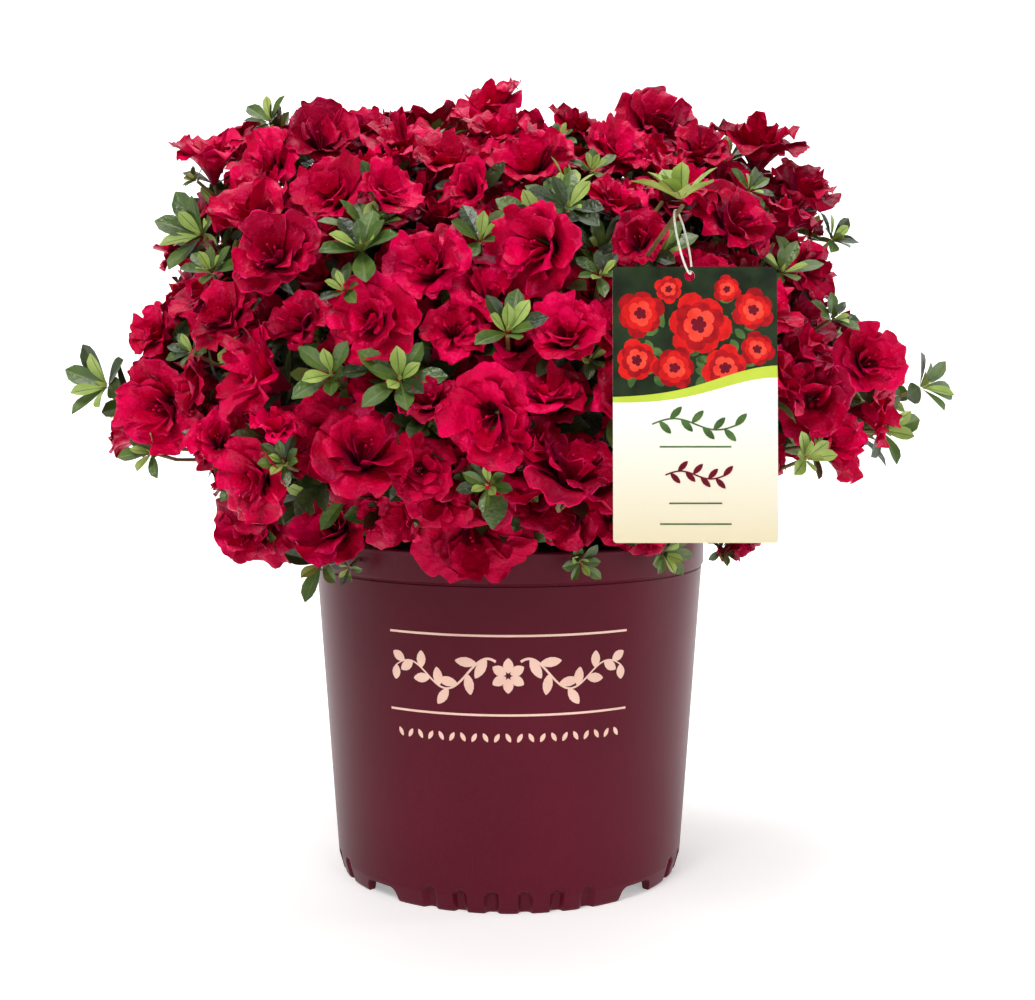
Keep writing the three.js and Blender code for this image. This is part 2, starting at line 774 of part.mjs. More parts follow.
// The loop is a ring with round ends and straight sides: it hangs on the shoot and holds the card
function tagLoopMesh(seat) {
  const bottom = tagHoleTop.clone().addScaledVector(up, -tagSeatRoom - loopStringRadius);
  const along = seat.clone().sub(bottom);
  const length = along.length();
  along.normalize();
  const side = new THREE.Vector3(Math.cos(loopTurn), Math.sin(loopTurn), 0);
  side.addScaledVector(along, -side.dot(along)).normalize();
  const third = new THREE.Vector3().crossVectors(side, along);
  const straight = length / 2 - loopHalfWidth;
  const middle = bottom.clone().lerp(seat, 0.5);
  const geometry = new THREE.TorusGeometry(loopHalfWidth, loopStringRadius, 6, loopSteps);
  const position = geometry.attributes.position;
  for (let i = 0; i < position.count; i += 1) {
    const shift = Math.sign(Math.round(1000 * position.getY(i))) * straight;
    const point = middle.clone()
      .addScaledVector(side, position.getX(i))
      .addScaledVector(along, position.getY(i) + shift)
      .addScaledVector(third, position.getZ(i));
    position.setXYZ(i, point.x, point.y, point.z);
  }
  return namedMesh("tag_loop", geometryOf(solidOf(geometry)), paleString);
}

// The top of the loop sits just over the twig of the tag's shoot
function loopSeatPoint(massIndex) {
  const { neck } = headShape(tagShootHead());
  const back = twigStart(massIndex, neck).sub(neck).normalize();
  return neck.clone().addScaledVector(back, loopSeat).addScaledVector(up, loopLift);
}

// The whole shrub

function buildShrub() {
  const group = new THREE.Group();
  const { grown, tagMass } = growCrown();
  const stemWithRoom = stemSolid(clearance);
  group.add(potMesh());
  group.add(soilMesh());
  group.add(namedMesh("stem", geometryOf(stemSolid(0)), bark));
  masses.forEach((_, index) => {
    group.add(boughMesh(index, stemWithRoom));
    group.add(massMesh(index, grown[index]));
  });
  group.add(tagCardMesh());
  group.add(tagLoopMesh(loopSeatPoint(tagMass)));
  return group;
}

export default buildShrub();
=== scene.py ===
# %% [markdown]
# # A double azalea in its nursery pot
# The plant is a low dome of crimson double blossoms with whorls of dark leaves between them. It stands in
# a burgundy plastic pot, and a printed tag hangs in front of it on a loop of string.
# The solid model is loaded first and used as a fixed frame: the pieces made here lie in the same metres
# and at the same spot, and many of them take the place of one or more of its solids.

# %% Load the solid model
import json
import math
import random

import bmesh
import bpy
import numpy as np
from mathutils import Matrix, Vector, noise

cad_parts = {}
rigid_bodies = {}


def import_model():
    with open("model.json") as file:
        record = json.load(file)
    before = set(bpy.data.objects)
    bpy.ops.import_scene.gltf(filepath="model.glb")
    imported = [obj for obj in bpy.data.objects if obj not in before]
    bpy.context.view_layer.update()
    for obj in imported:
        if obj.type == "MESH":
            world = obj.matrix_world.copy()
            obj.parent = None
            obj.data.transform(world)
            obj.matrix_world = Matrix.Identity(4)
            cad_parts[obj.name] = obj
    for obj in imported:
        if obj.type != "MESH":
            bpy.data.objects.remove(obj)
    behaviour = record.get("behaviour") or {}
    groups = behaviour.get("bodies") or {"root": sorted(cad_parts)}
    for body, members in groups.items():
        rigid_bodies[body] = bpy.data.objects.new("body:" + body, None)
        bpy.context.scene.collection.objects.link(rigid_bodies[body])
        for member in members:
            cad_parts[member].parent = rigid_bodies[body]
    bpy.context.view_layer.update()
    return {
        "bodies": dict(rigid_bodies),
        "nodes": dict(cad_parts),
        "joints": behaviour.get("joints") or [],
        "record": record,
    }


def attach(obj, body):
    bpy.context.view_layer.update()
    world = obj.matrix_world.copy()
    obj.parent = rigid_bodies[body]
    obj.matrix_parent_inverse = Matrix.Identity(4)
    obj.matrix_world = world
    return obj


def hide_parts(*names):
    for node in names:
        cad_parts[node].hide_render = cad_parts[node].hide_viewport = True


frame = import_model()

MM = 0.001

# %% [markdown]
# ## Camera
# A camera that matches a photograph needs its place, its tilt and its focal length. The pot is a good
# ruler: its rims and foot are circles of known size, so their ovals in the photograph give all three.
# The focal length is kept in pixels of the photograph, because pixels are what was measured.

# %% Camera at the photograph's viewing angle
photo_width = 1035
photo_height = 1000
focal_pixels = 1504.6
camera_tilt = 0.0758
camera_place = Vector((0.0059, -1.0846, 0.3459))

camera_data = bpy.data.cameras.new("photo_camera")
camera_data.sensor_fit = "HORIZONTAL"
camera_data.sensor_width = 36
camera_data.lens = focal_pixels * camera_data.sensor_width / photo_width
camera = bpy.data.objects.new("photo_camera", camera_data)
camera.location = camera_place
camera.rotation_euler = (math.pi / 2 - camera_tilt, 0, 0)
bpy.context.scene.collection.objects.link(camera)
bpy.context.scene.camera = camera

eye = np.array(camera_place) / MM
forward = np.array((0, math.cos(camera_tilt), -math.sin(camera_tilt)))
upward = np.array((0, math.sin(camera_tilt), math.cos(camera_tilt)))


def pixel_of(point):
    """Where a point, in millimetres, falls in the photograph, and how far away it is."""
    offset = np.asarray(point) - eye
    depth = offset @ forward
    across = photo_width / 2 + focal_pixels * offset[0] / depth
    down = photo_height / 2 - focal_pixels * (offset @ upward) / depth
    return across, down, depth


def ray_through(across, down):
    """The direction, per millimetre of depth, in which the camera sees a pixel."""
    side = (across - photo_width / 2) / focal_pixels
    rise = (photo_height / 2 - down) / focal_pixels
    return forward + np.array((side, 0, 0)) + upward * rise


print("lens:", round(camera_data.lens, 1), "mm, foot of the pot at pixel", pixel_of((0, -121, 0))[:2])

# %% [markdown]
# ## Nodes
# A material and a world are both small trees of nodes. Three helpers keep their making short: one gives
# values to sockets, one adds a node with its values, and one joins sockets.

# %% Helpers for nodes


def set_sockets(node, **values):
    """Gives fixed values to sockets. An underscore stands for a space in a socket's name."""
    for socket, value in values.items():
        node.inputs[socket.replace("_", " ")].default_value = value


def add_node(tree, kind, group=None, **values):
    node = tree.nodes.new("ShaderNode" + kind)
    if group:
        node.node_tree = group
    set_sockets(node, **values)
    return node


def connect(tree, *wires):
    """Joins sockets. Each wire is a node, its output, the next node and its input."""
    for source, output, target, entry in wires:
        tree.links.new(source.outputs[output], target.inputs[entry])


def new_material(name, **fixed):
    """A new material and its shader, on which everything is set that is the same all over."""
    material = bpy.data.materials.new(name)
    material.use_nodes = True
    shader = material.node_tree.nodes["Principled BSDF"]
    set_sockets(shader, **fixed)
    return material, shader


# %% [markdown]
# ## Studio
# The photograph is a product picture on white. A floor that curves up into a wall has no corner to show.
# Its side view is one line of points, which is extruded sideways. The floor glows a little, like a light
# table, and that keeps the shadow on it faint.

# %% Floor that curves up into a wall
floor_front = -3.0
floor_depth = 2.2
floor_width = 7
wall_height = 3.0
curve_radius = 0.9
curve_steps = 12


def make_backdrop():
    bm = bmesh.new()
    line = [(floor_front, 0.0)]
    for step in range(curve_steps + 1):
        angle = math.radians(90 * step / curve_steps - 90)
        line.append((floor_depth + curve_radius * math.cos(angle), curve_radius * (1 + math.sin(angle))))
    line.append((floor_depth + curve_radius, wall_height))
    verts = [bm.verts.new((-floor_width / 2, y, z)) for y, z in line]
    edges = [bm.edges.new(pair) for pair in zip(verts, verts[1:])]
    made = bmesh.ops.extrude_edge_only(bm, edges=edges)
    moved = [item for item in made["geom"] if isinstance(item, bmesh.types.BMVert)]
    bmesh.ops.translate(bm, verts=moved, vec=(floor_width, 0, 0))
    mesh = bpy.data.meshes.new("backdrop")
    bm.to_mesh(mesh)
    bm.free()
    mesh.flip_normals()
    mesh.shade_smooth()
    return bpy.data.objects.new("backdrop", mesh)


backdrop = make_backdrop()
bpy.context.scene.collection.objects.link(backdrop)

white = (1, 1, 1, 1)
backdrop_paint, _ = new_material("backdrop_paint", Base_Color=(0.93, 0.93, 0.93, 1), Roughness=0.9,
                                 Emission_Color=white, Emission_Strength=0.34)
backdrop.data.materials.append(backdrop_paint)

# %% [markdown]
# The plain Standard view keeps a strong red strong. The default view would turn it towards pink in the
# light, which suits a landscape better than a studio picture of red petals. Large area lights give soft
# shadows, and two at the sides draw the pale stripes along the edges of the pot.

# %% Lights
bpy.context.scene.view_settings.view_transform = "Standard"


def add_area_light(name, place, aim, size, watts, colour=(1, 1, 1)):
    light = bpy.data.lights.new(name, "AREA")
    light.shape = "RECTANGLE"
    light.size, light.size_y = size
    light.energy = watts
    light.color = colour
    holder = bpy.data.objects.new(name, light)
    holder.location = place
    holder.rotation_euler = (Vector(aim) - Vector(place)).to_track_quat("-Z", "Y").to_euler()
    bpy.context.scene.collection.objects.link(holder)


add_area_light("key_light", (-0.7, -1.8, 2.1), (0, 0, 0.35), (0.9, 0.9), 38, (1, 0.99, 0.97))
add_area_light("fill_light", (1.2, -1.9, 0.9), (0, 0, 0.35), (0.9, 1.2), 10)
add_area_light("top_light", (0, 0.2, 2.4), (0, 0, 0.3), (2.2, 1.8), 26)
add_area_light("left_strip", (-1.5, -0.2, 0.4), (0, 0, 0.2), (0.3, 1.2), 1.5)
add_area_light("right_strip", (1.5, 0.1, 0.4), (0, 0, 0.2), (0.35, 1.2), 5)
add_area_light("back_wall_light", (0, 1.3, 2.4), (0, 3.0, 0.9), (3.0, 0.8), 70)

world = bpy.data.worlds.new("studio")
bpy.context.scene.world = world
world.use_nodes = True
set_sockets(world.node_tree.nodes["Background"], Color=white, Strength=0.2)
print("lights:", len(bpy.data.lights))

# %% [markdown]
# ## Helpers for pieces
# A finished piece is an object at the origin with its place in its mesh. One helper names it, gives it its
# materials, makes it ride with the plant and hides the solids that it stands for.

# %% Helpers for pieces


def mesh_from(bm, name, sharp_degrees=None):
    mesh = bpy.data.meshes.new(name)
    bm.to_mesh(mesh)
    bm.free()
    mesh.shade_smooth()
    if sharp_degrees:
        mesh.set_sharp_from_angle(angle=math.radians(sharp_degrees))
    return mesh


def finish_piece(name, mesh, materials, replaced=()):
    mesh.name = name
    for material in materials:
        mesh.materials.append(material)
    piece = bpy.data.objects.new(name, mesh)
    bpy.context.scene.collection.objects.link(piece)
    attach(piece, "root")
    if replaced:
        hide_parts(*replaced)
    triangles = sum(len(polygon.vertices) - 2 for polygon in mesh.polygons)
    print(f"{name}: {triangles} triangles")


def helper_object(data):
    """An object that is needed only while its mesh or curve is worked on."""
    helper = bpy.data.objects.new("helper", data)
    bpy.context.scene.collection.objects.link(helper)
    return helper


def plain_mesh_of(helper):
    """The helper's shape as a plain mesh, with its modifiers applied. The helper itself goes."""
    bpy.context.view_layer.update()
    mesh = bpy.data.meshes.new_from_object(helper.evaluated_get(bpy.context.evaluated_depsgraph_get()))
    mesh.materials.clear()
    bpy.data.objects.remove(helper)
    return mesh


def cut_away(mesh, cutter_mesh):
    """The mesh with the cutter's shape taken out of it."""
    body, cutter = helper_object(mesh), helper_object(cutter_mesh)
    boolean = body.modifiers.new("cut", "BOOLEAN")
    boolean.operation = "DIFFERENCE"
    boolean.solver = "EXACT"
    boolean.object = cutter
    result = plain_mesh_of(body)
    bpy.data.objects.remove(cutter)
    return result


def tubes_mesh(paths, bevel_resolution, closed=False):
    """One mesh of round tubes: each path is a list of (point in mm, radius in mm)."""
    curve = bpy.data.curves.new("tubes", "CURVE")
    curve.dimensions = "3D"
    curve.bevel_depth = MM
    curve.bevel_resolution = bevel_resolution
    curve.use_fill_caps = not closed
    for path in paths:
        spline = curve.splines.new("POLY")
        spline.points.add(len(path) - 1)
        spline.use_cyclic_u = closed
        for point, (place, radius) in zip(spline.points, path):
            point.co = (*(Vector(place) * MM), 1)
            point.radius = radius
    mesh = plain_mesh_of(helper_object(curve))
    mesh.shade_smooth()
    return mesh


# %% [markdown]
# ## Materials
# Real surfaces are never one flat colour. A node group that mixes two colours by noise is used in nearly
# every material, each time with its own colours and grain size, and a second one makes the fine height
# that a Bump node turns into relief. What is the same all over, such as sheen, is set on the shader itself.

# %% Node groups for tone and relief


def linear(red, green, blue):
    """A colour read off the screen, 0 to 255, as the opaque linear light that shaders work in."""
    channels = [channel / 255 for channel in (red, green, blue)]
    return (*(c / 12.92 if c <= 0.04045 else ((c + 0.055) / 1.055) ** 2.4 for c in channels), 1)


def new_group(name, output, output_kind, **inputs):
    """An empty node group with its sockets, and the nodes where values come in and go out."""
    group = bpy.data.node_groups.new(name, "ShaderNodeTree")
    for socket, kind in inputs.items():
        group.interface.new_socket(socket, in_out="INPUT", socket_type="NodeSocket" + kind)
    group.interface.new_socket(output, in_out="OUTPUT", socket_type="NodeSocket" + output_kind)
    return group, group.nodes.new("NodeGroupInput"), group.nodes.new("NodeGroupOutput")


def make_tone_group():
    group, entry, leave = new_group("two_tone", "Color", "Color", Light="Color", Dark="Color", Grain="Float")
    place = add_node(group, "TexCoord")
    cloud = add_node(group, "TexNoise", Detail=3)
    ramp = add_node(group, "MapRange", From_Min=0.35, From_Max=0.65)
    mix = add_node(group, "Mix")
    mix.data_type = "RGBA"
    connect(group, (place, "Object", cloud, "Vector"), (entry, "Grain", cloud, "Scale"),
            (cloud, "Fac", ramp, "Value"), (ramp, "Result", mix, "Factor"), (entry, "Dark", mix, "A"),
            (entry, "Light", mix, "B"), (mix, "Result", leave, "Color"))
    return group


def make_relief_group():
    group, entry, leave = new_group("fine_relief", "Height", "Float", Grain="Float", Stretch="Vector")
    place = add_node(group, "TexCoord")
    stretch = add_node(group, "VectorMath")
    stretch.operation = "MULTIPLY"
    cloud = add_node(group, "TexNoise", Detail=4)
    connect(group, (place, "Object", stretch, 0), (entry, "Stretch", stretch, 1),
            (stretch, "Vector", cloud, "Vector"), (entry, "Grain", cloud, "Scale"),
            (cloud, "Fac", leave, "Height"))
    return group


two_tone = make_tone_group()
fine_relief = make_relief_group()


def make_material(name, light, dark, tone_grain, roughness, relief, stretch=(1, 1, 1), **fixed):
    """A material with two tones and a fine relief, given as its grain and its depth in metres."""
    material, shader = new_material(name, Roughness=roughness, **fixed)
    tree = material.node_tree
    tone = add_node(tree, "Group", two_tone, Light=linear(*light), Dark=linear(*dark), Grain=tone_grain)
    bumps = add_node(tree, "Group", fine_relief, Grain=relief[0], Stretch=stretch)
    bump = add_node(tree, "Bump", Distance=relief[1])
    connect(tree, (tone, "Color", shader, "Base Color"), (bumps, "Height", bump, "Height"),
            (bump, "Normal", shader, "Normal"))
    return material


# %% [markdown]
# The pot is moulded from two plastics: burgundy outside and black inside. Satin plastic has a roughness
# of about 0.35, so that the soft lights show as broad pale stripes. The relief is faint and very fine.

# %% Materials of the pot
burgundy_plastic = make_material("burgundy_plastic", (92, 14, 36), (82, 10, 30), 6, 0.35, (900, 0.0001),
                                 Specular_IOR_Level=0.13)
black_plastic = make_material("black_plastic", (24, 22, 23), (15, 14, 15), 8, 0.3, (700, 0.0001))
pale_ink = make_material("pale_ink", (244, 204, 186), (236, 192, 174), 40, 0.5, (600, 0.00005))
potting_bark = make_material("potting_bark", (74, 50, 34), (30, 20, 14), 120, 0.95, (500, 0.0012))
bark_chip = make_material("bark_chip", (112, 78, 52), (60, 40, 27), 90, 0.9, (400, 0.0006))

# %% [markdown]
# Petals are soft, with a pink bloom where light grazes them: that is what sheen is for. Their gloss is
# weak and takes on the petal's colour. Three crimsons are dealt out blossom by blossom. A fourth is for
# the throats, and a pale pink is a painted highlight along the thin rims of some of the blossoms, whose
# stamens take the same pink.

# %% Materials of the blossoms
velvet = dict(Sheen_Weight=0.14, Sheen_Roughness=0.4, Sheen_Tint=(1, 0.02, 0.4, 1),
              Specular_IOR_Level=0.4, Specular_Tint=(1, 0.1, 0.5, 1))
crinkles = (130, 0.003)
fine_grain = (300, 0.0003)
petal_bright = make_material("petal_bright", (228, 0, 76), (196, 0, 50), 45, 0.34, crinkles, **velvet)
petal_crimson = make_material("petal_crimson", (202, 0, 55), (166, 0, 35), 45, 0.36, crinkles, **velvet)
petal_deep = make_material("petal_deep", (166, 0, 38), (128, 0, 24), 45, 0.38, crinkles, **velvet)
# Painted highlight: the pale pink of the petal rims, which the stamens also take as their colour.
rim_highlight_and_stamen = make_material("rim_highlight_and_stamen", (220, 18, 86), (200, 4, 62), 60, 0.4, fine_grain, **velvet)
petal_throat = make_material("petal_throat", (136, 0, 36), (98, 0, 22), 60, 0.5, fine_grain, **velvet)

# %% [markdown]
# Azalea leaves are dark, firm and satin. New ones at the end of a shoot are yellow green, and each has a
# pale rib down its middle.

# %% Materials of leaves and wood
firm = (320, 0.0008)
gloss = dict(Specular_IOR_Level=0.65)
# The darkest green is a leaf tone, and also the painted shade of the leaves inside the dome.
leaf_dark_and_shade = make_material("leaf_dark_and_shade", (52, 70, 30), (32, 48, 20), 60, 0.3, firm, **gloss)
leaf_green = make_material("leaf_green", (88, 114, 44), (62, 88, 34), 60, 0.3, firm, **gloss)
leaf_lime = make_material("leaf_lime", (174, 194, 102), (140, 164, 76), 60, 0.4, (320, 0.0005))
leaf_rib = make_material("leaf_rib", (112, 130, 72), (88, 108, 56), 60, 0.42, (320, 0.0002))
leaf_bud = make_material("leaf_bud", (196, 200, 110), (160, 170, 80), 60, 0.45, (300, 0.0002))
young_twig = make_material("young_twig", (132, 116, 66), (96, 76, 46), 90, 0.7, (400, 0.0006))
rough_bark = make_material("rough_bark", (128, 102, 76), (74, 54, 38), 70, 0.9, (160, 0.003),
                           stretch=(1, 1, 0.25))

# %% [markdown]
# ## Pot
# A pot is a turned shape, so half of its outline is drawn as a line of points and spun round the upright
# axis. The outline runs under the floor, up the outside, over the rolled lip and down the inside. The
# lines lie close together at the heel, where the flutes will be pressed in.

# %% Turn the pot
pot_height = 241
rim_radius = 139.7
band_height = 20
shoulder_radius = 138.3
heel_radius = 124.4
heel_height = 12
foot_radius = 121.3
foot_width = 6
foot_edge = 1.2
floor_underside = 10.5
pot_wall = 2
groove_depth = 0.7
band_edge = 0.5
lip_radius = 1.7
lip_bulge = 0.9
lip_steps = 8
lip_start, lip_end = -30, 180
ridge_heights = (236.2, 231.4, 226.6)
ridge_half_height = 1.2
ridge_crest = 0.4
ridge_depth = 0.8
floor_corner = 4
spin_steps = 480
press_rows = 16


def wall_radius(height):
    """How far the outside of the wall is from the axis at a height."""
    if height < heel_height:
        return foot_radius + (heel_radius - foot_radius) * (height - foot_edge) / (heel_height - foot_edge)
    share = (height - heel_height) / (pot_height - band_height - heel_height)
    return heel_radius + share * (shoulder_radius - heel_radius)


def pot_outline():
    band_bottom = pot_height - band_height
    inside = foot_radius - foot_width
    line = [(0, floor_underside), (inside - 1, floor_underside), (inside, floor_underside - 1)]
    line += [(inside, 1), (inside + 0.4, 0), (foot_radius - foot_edge, 0)]
    line += [(wall_radius(row * foot_edge), row * foot_edge) for row in range(1, press_rows + 1)]
    groove = shoulder_radius - groove_depth
    line += [(shoulder_radius, band_bottom - 2.8), (groove, band_bottom - 2.3)]
    line += [(groove, band_bottom - 1.2), (rim_radius - band_edge, band_bottom - band_edge)]
    line.append((rim_radius, band_bottom + 0.6))
    lip_reach = rim_radius + lip_bulge - lip_radius
    lip_height = pot_height - lip_radius
    line.append((rim_radius, lip_height - 2.4))
    for step in range(lip_steps + 1):
        angle = math.radians(lip_start + (lip_end - lip_start) * step / lip_steps)
        line.append((lip_reach + lip_radius * math.cos(angle), lip_height + lip_radius * math.sin(angle)))
    inner = rim_radius - pot_wall - 0.4
    for ridge in ridge_heights:
        line += [(inner, ridge + ridge_half_height), (inner - ridge_depth, ridge + ridge_crest)]
        line += [(inner - ridge_depth, ridge - ridge_crest), (inner, ridge - ridge_half_height)]
    floor_top = floor_underside + pot_wall
    line += [(shoulder_radius - pot_wall, band_bottom - 1), (heel_radius - pot_wall + 1, 2.2 * heel_height)]
    line += [(heel_radius - pot_wall - floor_corner, floor_top), (0, floor_top)]
    return line


def turned(outline, steps):
    bm = bmesh.new()
    verts = [bm.verts.new((radius * MM, 0, height * MM)) for radius, height in outline]
    edges = [bm.edges.new(pair) for pair in zip(verts, verts[1:])]
    bmesh.ops.spin(bm, geom=verts + edges, cent=(0, 0, 0), axis=(0, 0, 1), angle=2 * math.pi,
                   steps=steps, use_merge=True)
    bmesh.ops.remove_doubles(bm, verts=bm.verts, dist=1e-6)
    bmesh.ops.recalc_face_normals(bm, faces=bm.faces)
    return bm


# %% [markdown]
# Short arched flutes are pressed into the heel, six on each foot. Pressing is done by moving points
# inwards where they lie within the arch, with a soft edge, as moulded plastic has no sharp ones. Four
# notches between the feet let water out. They go right through, so a Boolean cuts them.

# %% Press the flutes and cut the notches
notch_width = 37
notch_depth = 16
notch_slant = 0.74
notch_round = 4
notch_count = 4
foot_angle = 2 * math.pi / notch_count
flute_half_width = 4.9
flute_height = 16.5
flute_depth = 3.8
flute_edge = 2
flute_pitch = math.radians(10.1)
flutes_per_foot = 6
flute_angles = [foot * foot_angle + (flute - (flutes_per_foot - 1) / 2) * flute_pitch
                for foot in range(notch_count) for flute in range(flutes_per_foot)]


def smooth_step(share):
    """Rises from 0 to 1 as the share does, with a level start and end."""
    return share * share * (3 - 2 * share)


def press_flutes(bm):
    outside = [vert for vert in bm.verts if vert.co.z < press_rows * foot_edge * MM
               and vert.co.xy.length > (foot_radius - 2 * foot_edge) * MM]
    for vert in outside:
        radius, height = vert.co.xy.length / MM, vert.co.z / MM
        turn = math.atan2(vert.co.y, vert.co.x)
        across = min(abs(math.remainder(turn - angle, 2 * math.pi)) for angle in flute_angles) * radius
        above = max(0, height - (flute_height - flute_half_width))
        depth = (flute_half_width - math.hypot(across, above)) / flute_edge
        if depth > 0:
            pressed = radius - flute_depth * smooth_step(min(depth, 1))
            vert.co.x *= pressed / radius
            vert.co.y *= pressed / radius


def add_notch(bm, angle):
    """A block that narrows upwards, with two round edges, where a notch will be."""
    cube = bmesh.ops.create_cube(bm, size=1)["verts"]
    half_height = floor_underside - 0.6
    bmesh.ops.scale(bm, verts=cube, vec=(notch_depth * MM, notch_width * MM, 2 * half_height * MM))
    upper = [vert for vert in cube if vert.co.z > 0]
    bmesh.ops.scale(bm, verts=upper, vec=(1, notch_slant, 1))
    across = [edge for edge in bm.edges if edge.verts[0] in upper and edge.verts[1] in upper
              and abs(edge.verts[0].co.x - edge.verts[1].co.x) > 0.01]
    rounded = bmesh.ops.bevel(bm, geom=across, offset=notch_round * MM, segments=6, profile=0.5,
                              affect="EDGES", material=-1)
    verts = list({vert for vert in cube if vert.is_valid} | set(rounded["verts"]))
    bmesh.ops.translate(bm, verts=verts, vec=((foot_radius - 0.5 * foot_width) * MM, 0, 0))
    bmesh.ops.rotate(bm, verts=verts, cent=(0, 0, 0), matrix=Matrix.Rotation(angle, 3, "Z"))


def notches_mesh():
    bm = bmesh.new()
    for foot in range(notch_count):
        add_notch(bm, (foot + 0.5) * foot_angle)
    bmesh.ops.recalc_face_normals(bm, faces=bm.faces)
    return mesh_from(bm, "notches")


# %% [markdown]
# After the cut, the floor and the faces that look inwards get the black plastic. Edges sharper than 40
# degrees stay crisp, and the rest shades smoothly.

# %% Finish the pot
crisp_degrees = 40
looks_inwards = -0.25
looks_up_or_down = 0.9


def is_black(polygon):
    outward = Vector((polygon.center.x, polygon.center.y, 0)).normalized()
    reach = math.hypot(polygon.center.x, polygon.center.y)
    inside_wall = polygon.normal.dot(outward) < looks_inwards and reach < (rim_radius - 1.2) * MM
    floor = abs(polygon.normal.z) > looks_up_or_down and reach < (foot_radius - foot_width) * MM
    return floor or inside_wall and polygon.center.z > (floor_underside + 1) * MM


pot_body = turned(pot_outline(), spin_steps)
press_flutes(pot_body)
pot_mesh = cut_away(mesh_from(pot_body, "pot_body"), notches_mesh())
for polygon in pot_mesh.polygons:
    polygon.material_index = int(is_black(polygon))
pot_mesh.shade_smooth()
pot_mesh.set_sharp_from_angle(angle=math.radians(crisp_degrees))
finish_piece("nursery_pot", pot_mesh, [burgundy_plastic, black_plastic], ["pot"])

# %% [markdown]
# ## Ornament on the pot
# The front of such a pot is printed in one pale ink. This one carries a plain running vine between two
# fine rules, and a row of small leaves below. It is drawn flat, from circles pulled into leaf shapes, and
# then wrapped round the cone: the distance across becomes an angle. It lies a third of a millimetre proud,
# because a flat leaf cuts off the curve of the wall a little and must not sink into it.

# %% Draw flat leaves and ribbons


def add_flat_leaf(bm, place, angle, length, width, segments=14, blunt=False, lift=0):
    """A pointed oval, or a blunt one, that starts at a place and runs off at an angle."""
    leaf = bmesh.ops.create_circle(bm, cap_ends=True, segments=segments, radius=0.5)["verts"]
    for vert in leaf:
        along = vert.co.x + 0.5
        vert.co.x = along * length
        vert.co.y *= width * (0.5 + 0.7 * along if blunt else 0.35 + 0.65 * math.sin(math.pi * along) ** 0.5)
    bmesh.ops.rotate(bm, verts=leaf, cent=(0, 0, 0), matrix=Matrix.Rotation(angle, 3, "Z"))
    bmesh.ops.translate(bm, verts=leaf, vec=(place[0], place[1], lift))
    return leaf


def add_ribbon(bm, line, widths):
    """A flat strip along a line of points: a grid one face wide, bent to the line."""
    steps = len(line) - 1
    strip = bmesh.ops.create_grid(bm, x_segments=steps, y_segments=1, size=0.5)["verts"]
    for vert in strip:
        index = round((vert.co.x + 0.5) * steps)
        ahead = Vector(line[min(index + 1, steps)]) - Vector(line[max(index - 1, 0)])
        side = Vector((-ahead.y, ahead.x)).normalized() * widths[index] * vert.co.y
        vert.co = (line[index][0] + side.x, line[index][1] + side.y, 0)
    return strip


# %% Draw the vine and wrap it round the pot
print_half_width = 82
print_middle = 161
rule_offset = 26
rule_width = 1.5
rule_steps = 60
vine_start = 8
vine_reach = 70
vine_steps = 60
vine_swing = 12
vine_waves = 1.5
vine_leaves = 11
vine_leaf_pitch = 6.3
vine_leaf_turn = math.radians(50)
print_petals = 6
leaf_row_drop = 41
leaf_row_pitch = 7.4
leaf_row_turn = math.radians(62)
ink_lift = 0.3


def vine_point(across):
    """The stem of the vine swings up and down, more weakly towards its ends."""
    fade = 1 - 0.45 * abs(across) / print_half_width
    turn = abs(across) / print_half_width * vine_waves * 2 * math.pi
    return (across, vine_swing * fade * math.sin(turn))


def add_vine_half(bm, side):
    """One half of the vine, tapering outwards, with its leaves to the left and right by turns."""
    shares = [step / vine_steps for step in range(vine_steps + 1)]
    line = [vine_point(side * (vine_start + vine_reach * share)) for share in shares]
    add_ribbon(bm, line, [1.7 - 0.9 * share for share in shares])
    for leaf in range(vine_leaves):
        across = side * (14 + vine_leaf_pitch * leaf)
        near, far = Vector(vine_point(across)), Vector(vine_point(across + side))
        heading = math.atan2(far.y - near.y, far.x - near.x)
        turn = vine_leaf_turn * (1 if leaf % 2 else -1) * side
        add_flat_leaf(bm, near, heading + turn, 15 - 0.5 * leaf, 6.6, lift=0.03 + 0.03 * (leaf % 2))


def add_print_blossom(bm):
    """The blossom in the middle of the vine. Every second petal lies a little higher."""
    for petal in range(print_petals):
        angle = math.radians(30 + 60 * petal)
        start = (1.6 * math.cos(angle), 1.6 * math.sin(angle))
        add_flat_leaf(bm, start, angle, 10, 6.8, lift=0.1 + 0.02 * (petal % 2))


def add_leaf_row(bm):
    for step in range(-10, 11):
        side = 1 if step % 2 else -1
        start = (leaf_row_pitch * step - 1.5, -leaf_row_drop - 3 * side)
        add_flat_leaf(bm, start, leaf_row_turn * side, 6.6, 3)


def draw_print():
    bm = bmesh.new()
    for side in (1, -1):
        add_vine_half(bm, side)
    add_print_blossom(bm)
    for height in (rule_offset, -rule_offset):
        line = [(print_half_width * (2 * step / rule_steps - 1), height) for step in range(rule_steps + 1)]
        add_ribbon(bm, line, [rule_width] * len(line))
    add_leaf_row(bm)
    return bm


def wrap_on_wall(bm):
    for vert in bm.verts:
        height = print_middle + vert.co.y
        radius = wall_radius(height) + ink_lift + vert.co.z
        angle = -math.pi / 2 + vert.co.x / radius
        vert.co = Vector((radius * math.cos(angle), radius * math.sin(angle), height)) * MM
    for face in bm.faces:
        face.normal_update()
        if face.normal.dot(face.calc_center_median().xy.to_3d()) < 0:
            face.normal_flip()


vine = draw_print()
wrap_on_wall(vine)
finish_piece("pot_vine_print", mesh_from(vine, "pot_vine_print"), [pale_ink])

# %% [markdown]
# ## Potting mix
# The mix is a level bed of composted bark. A spun disc gets its small hills from noise, and chips of bark
# lie on it. The chips are one small block, copied many times into a single mesh: this is done with arrays
# of numbers, because joining thousands of objects would be slow.

# %% Copy small shapes into one mesh


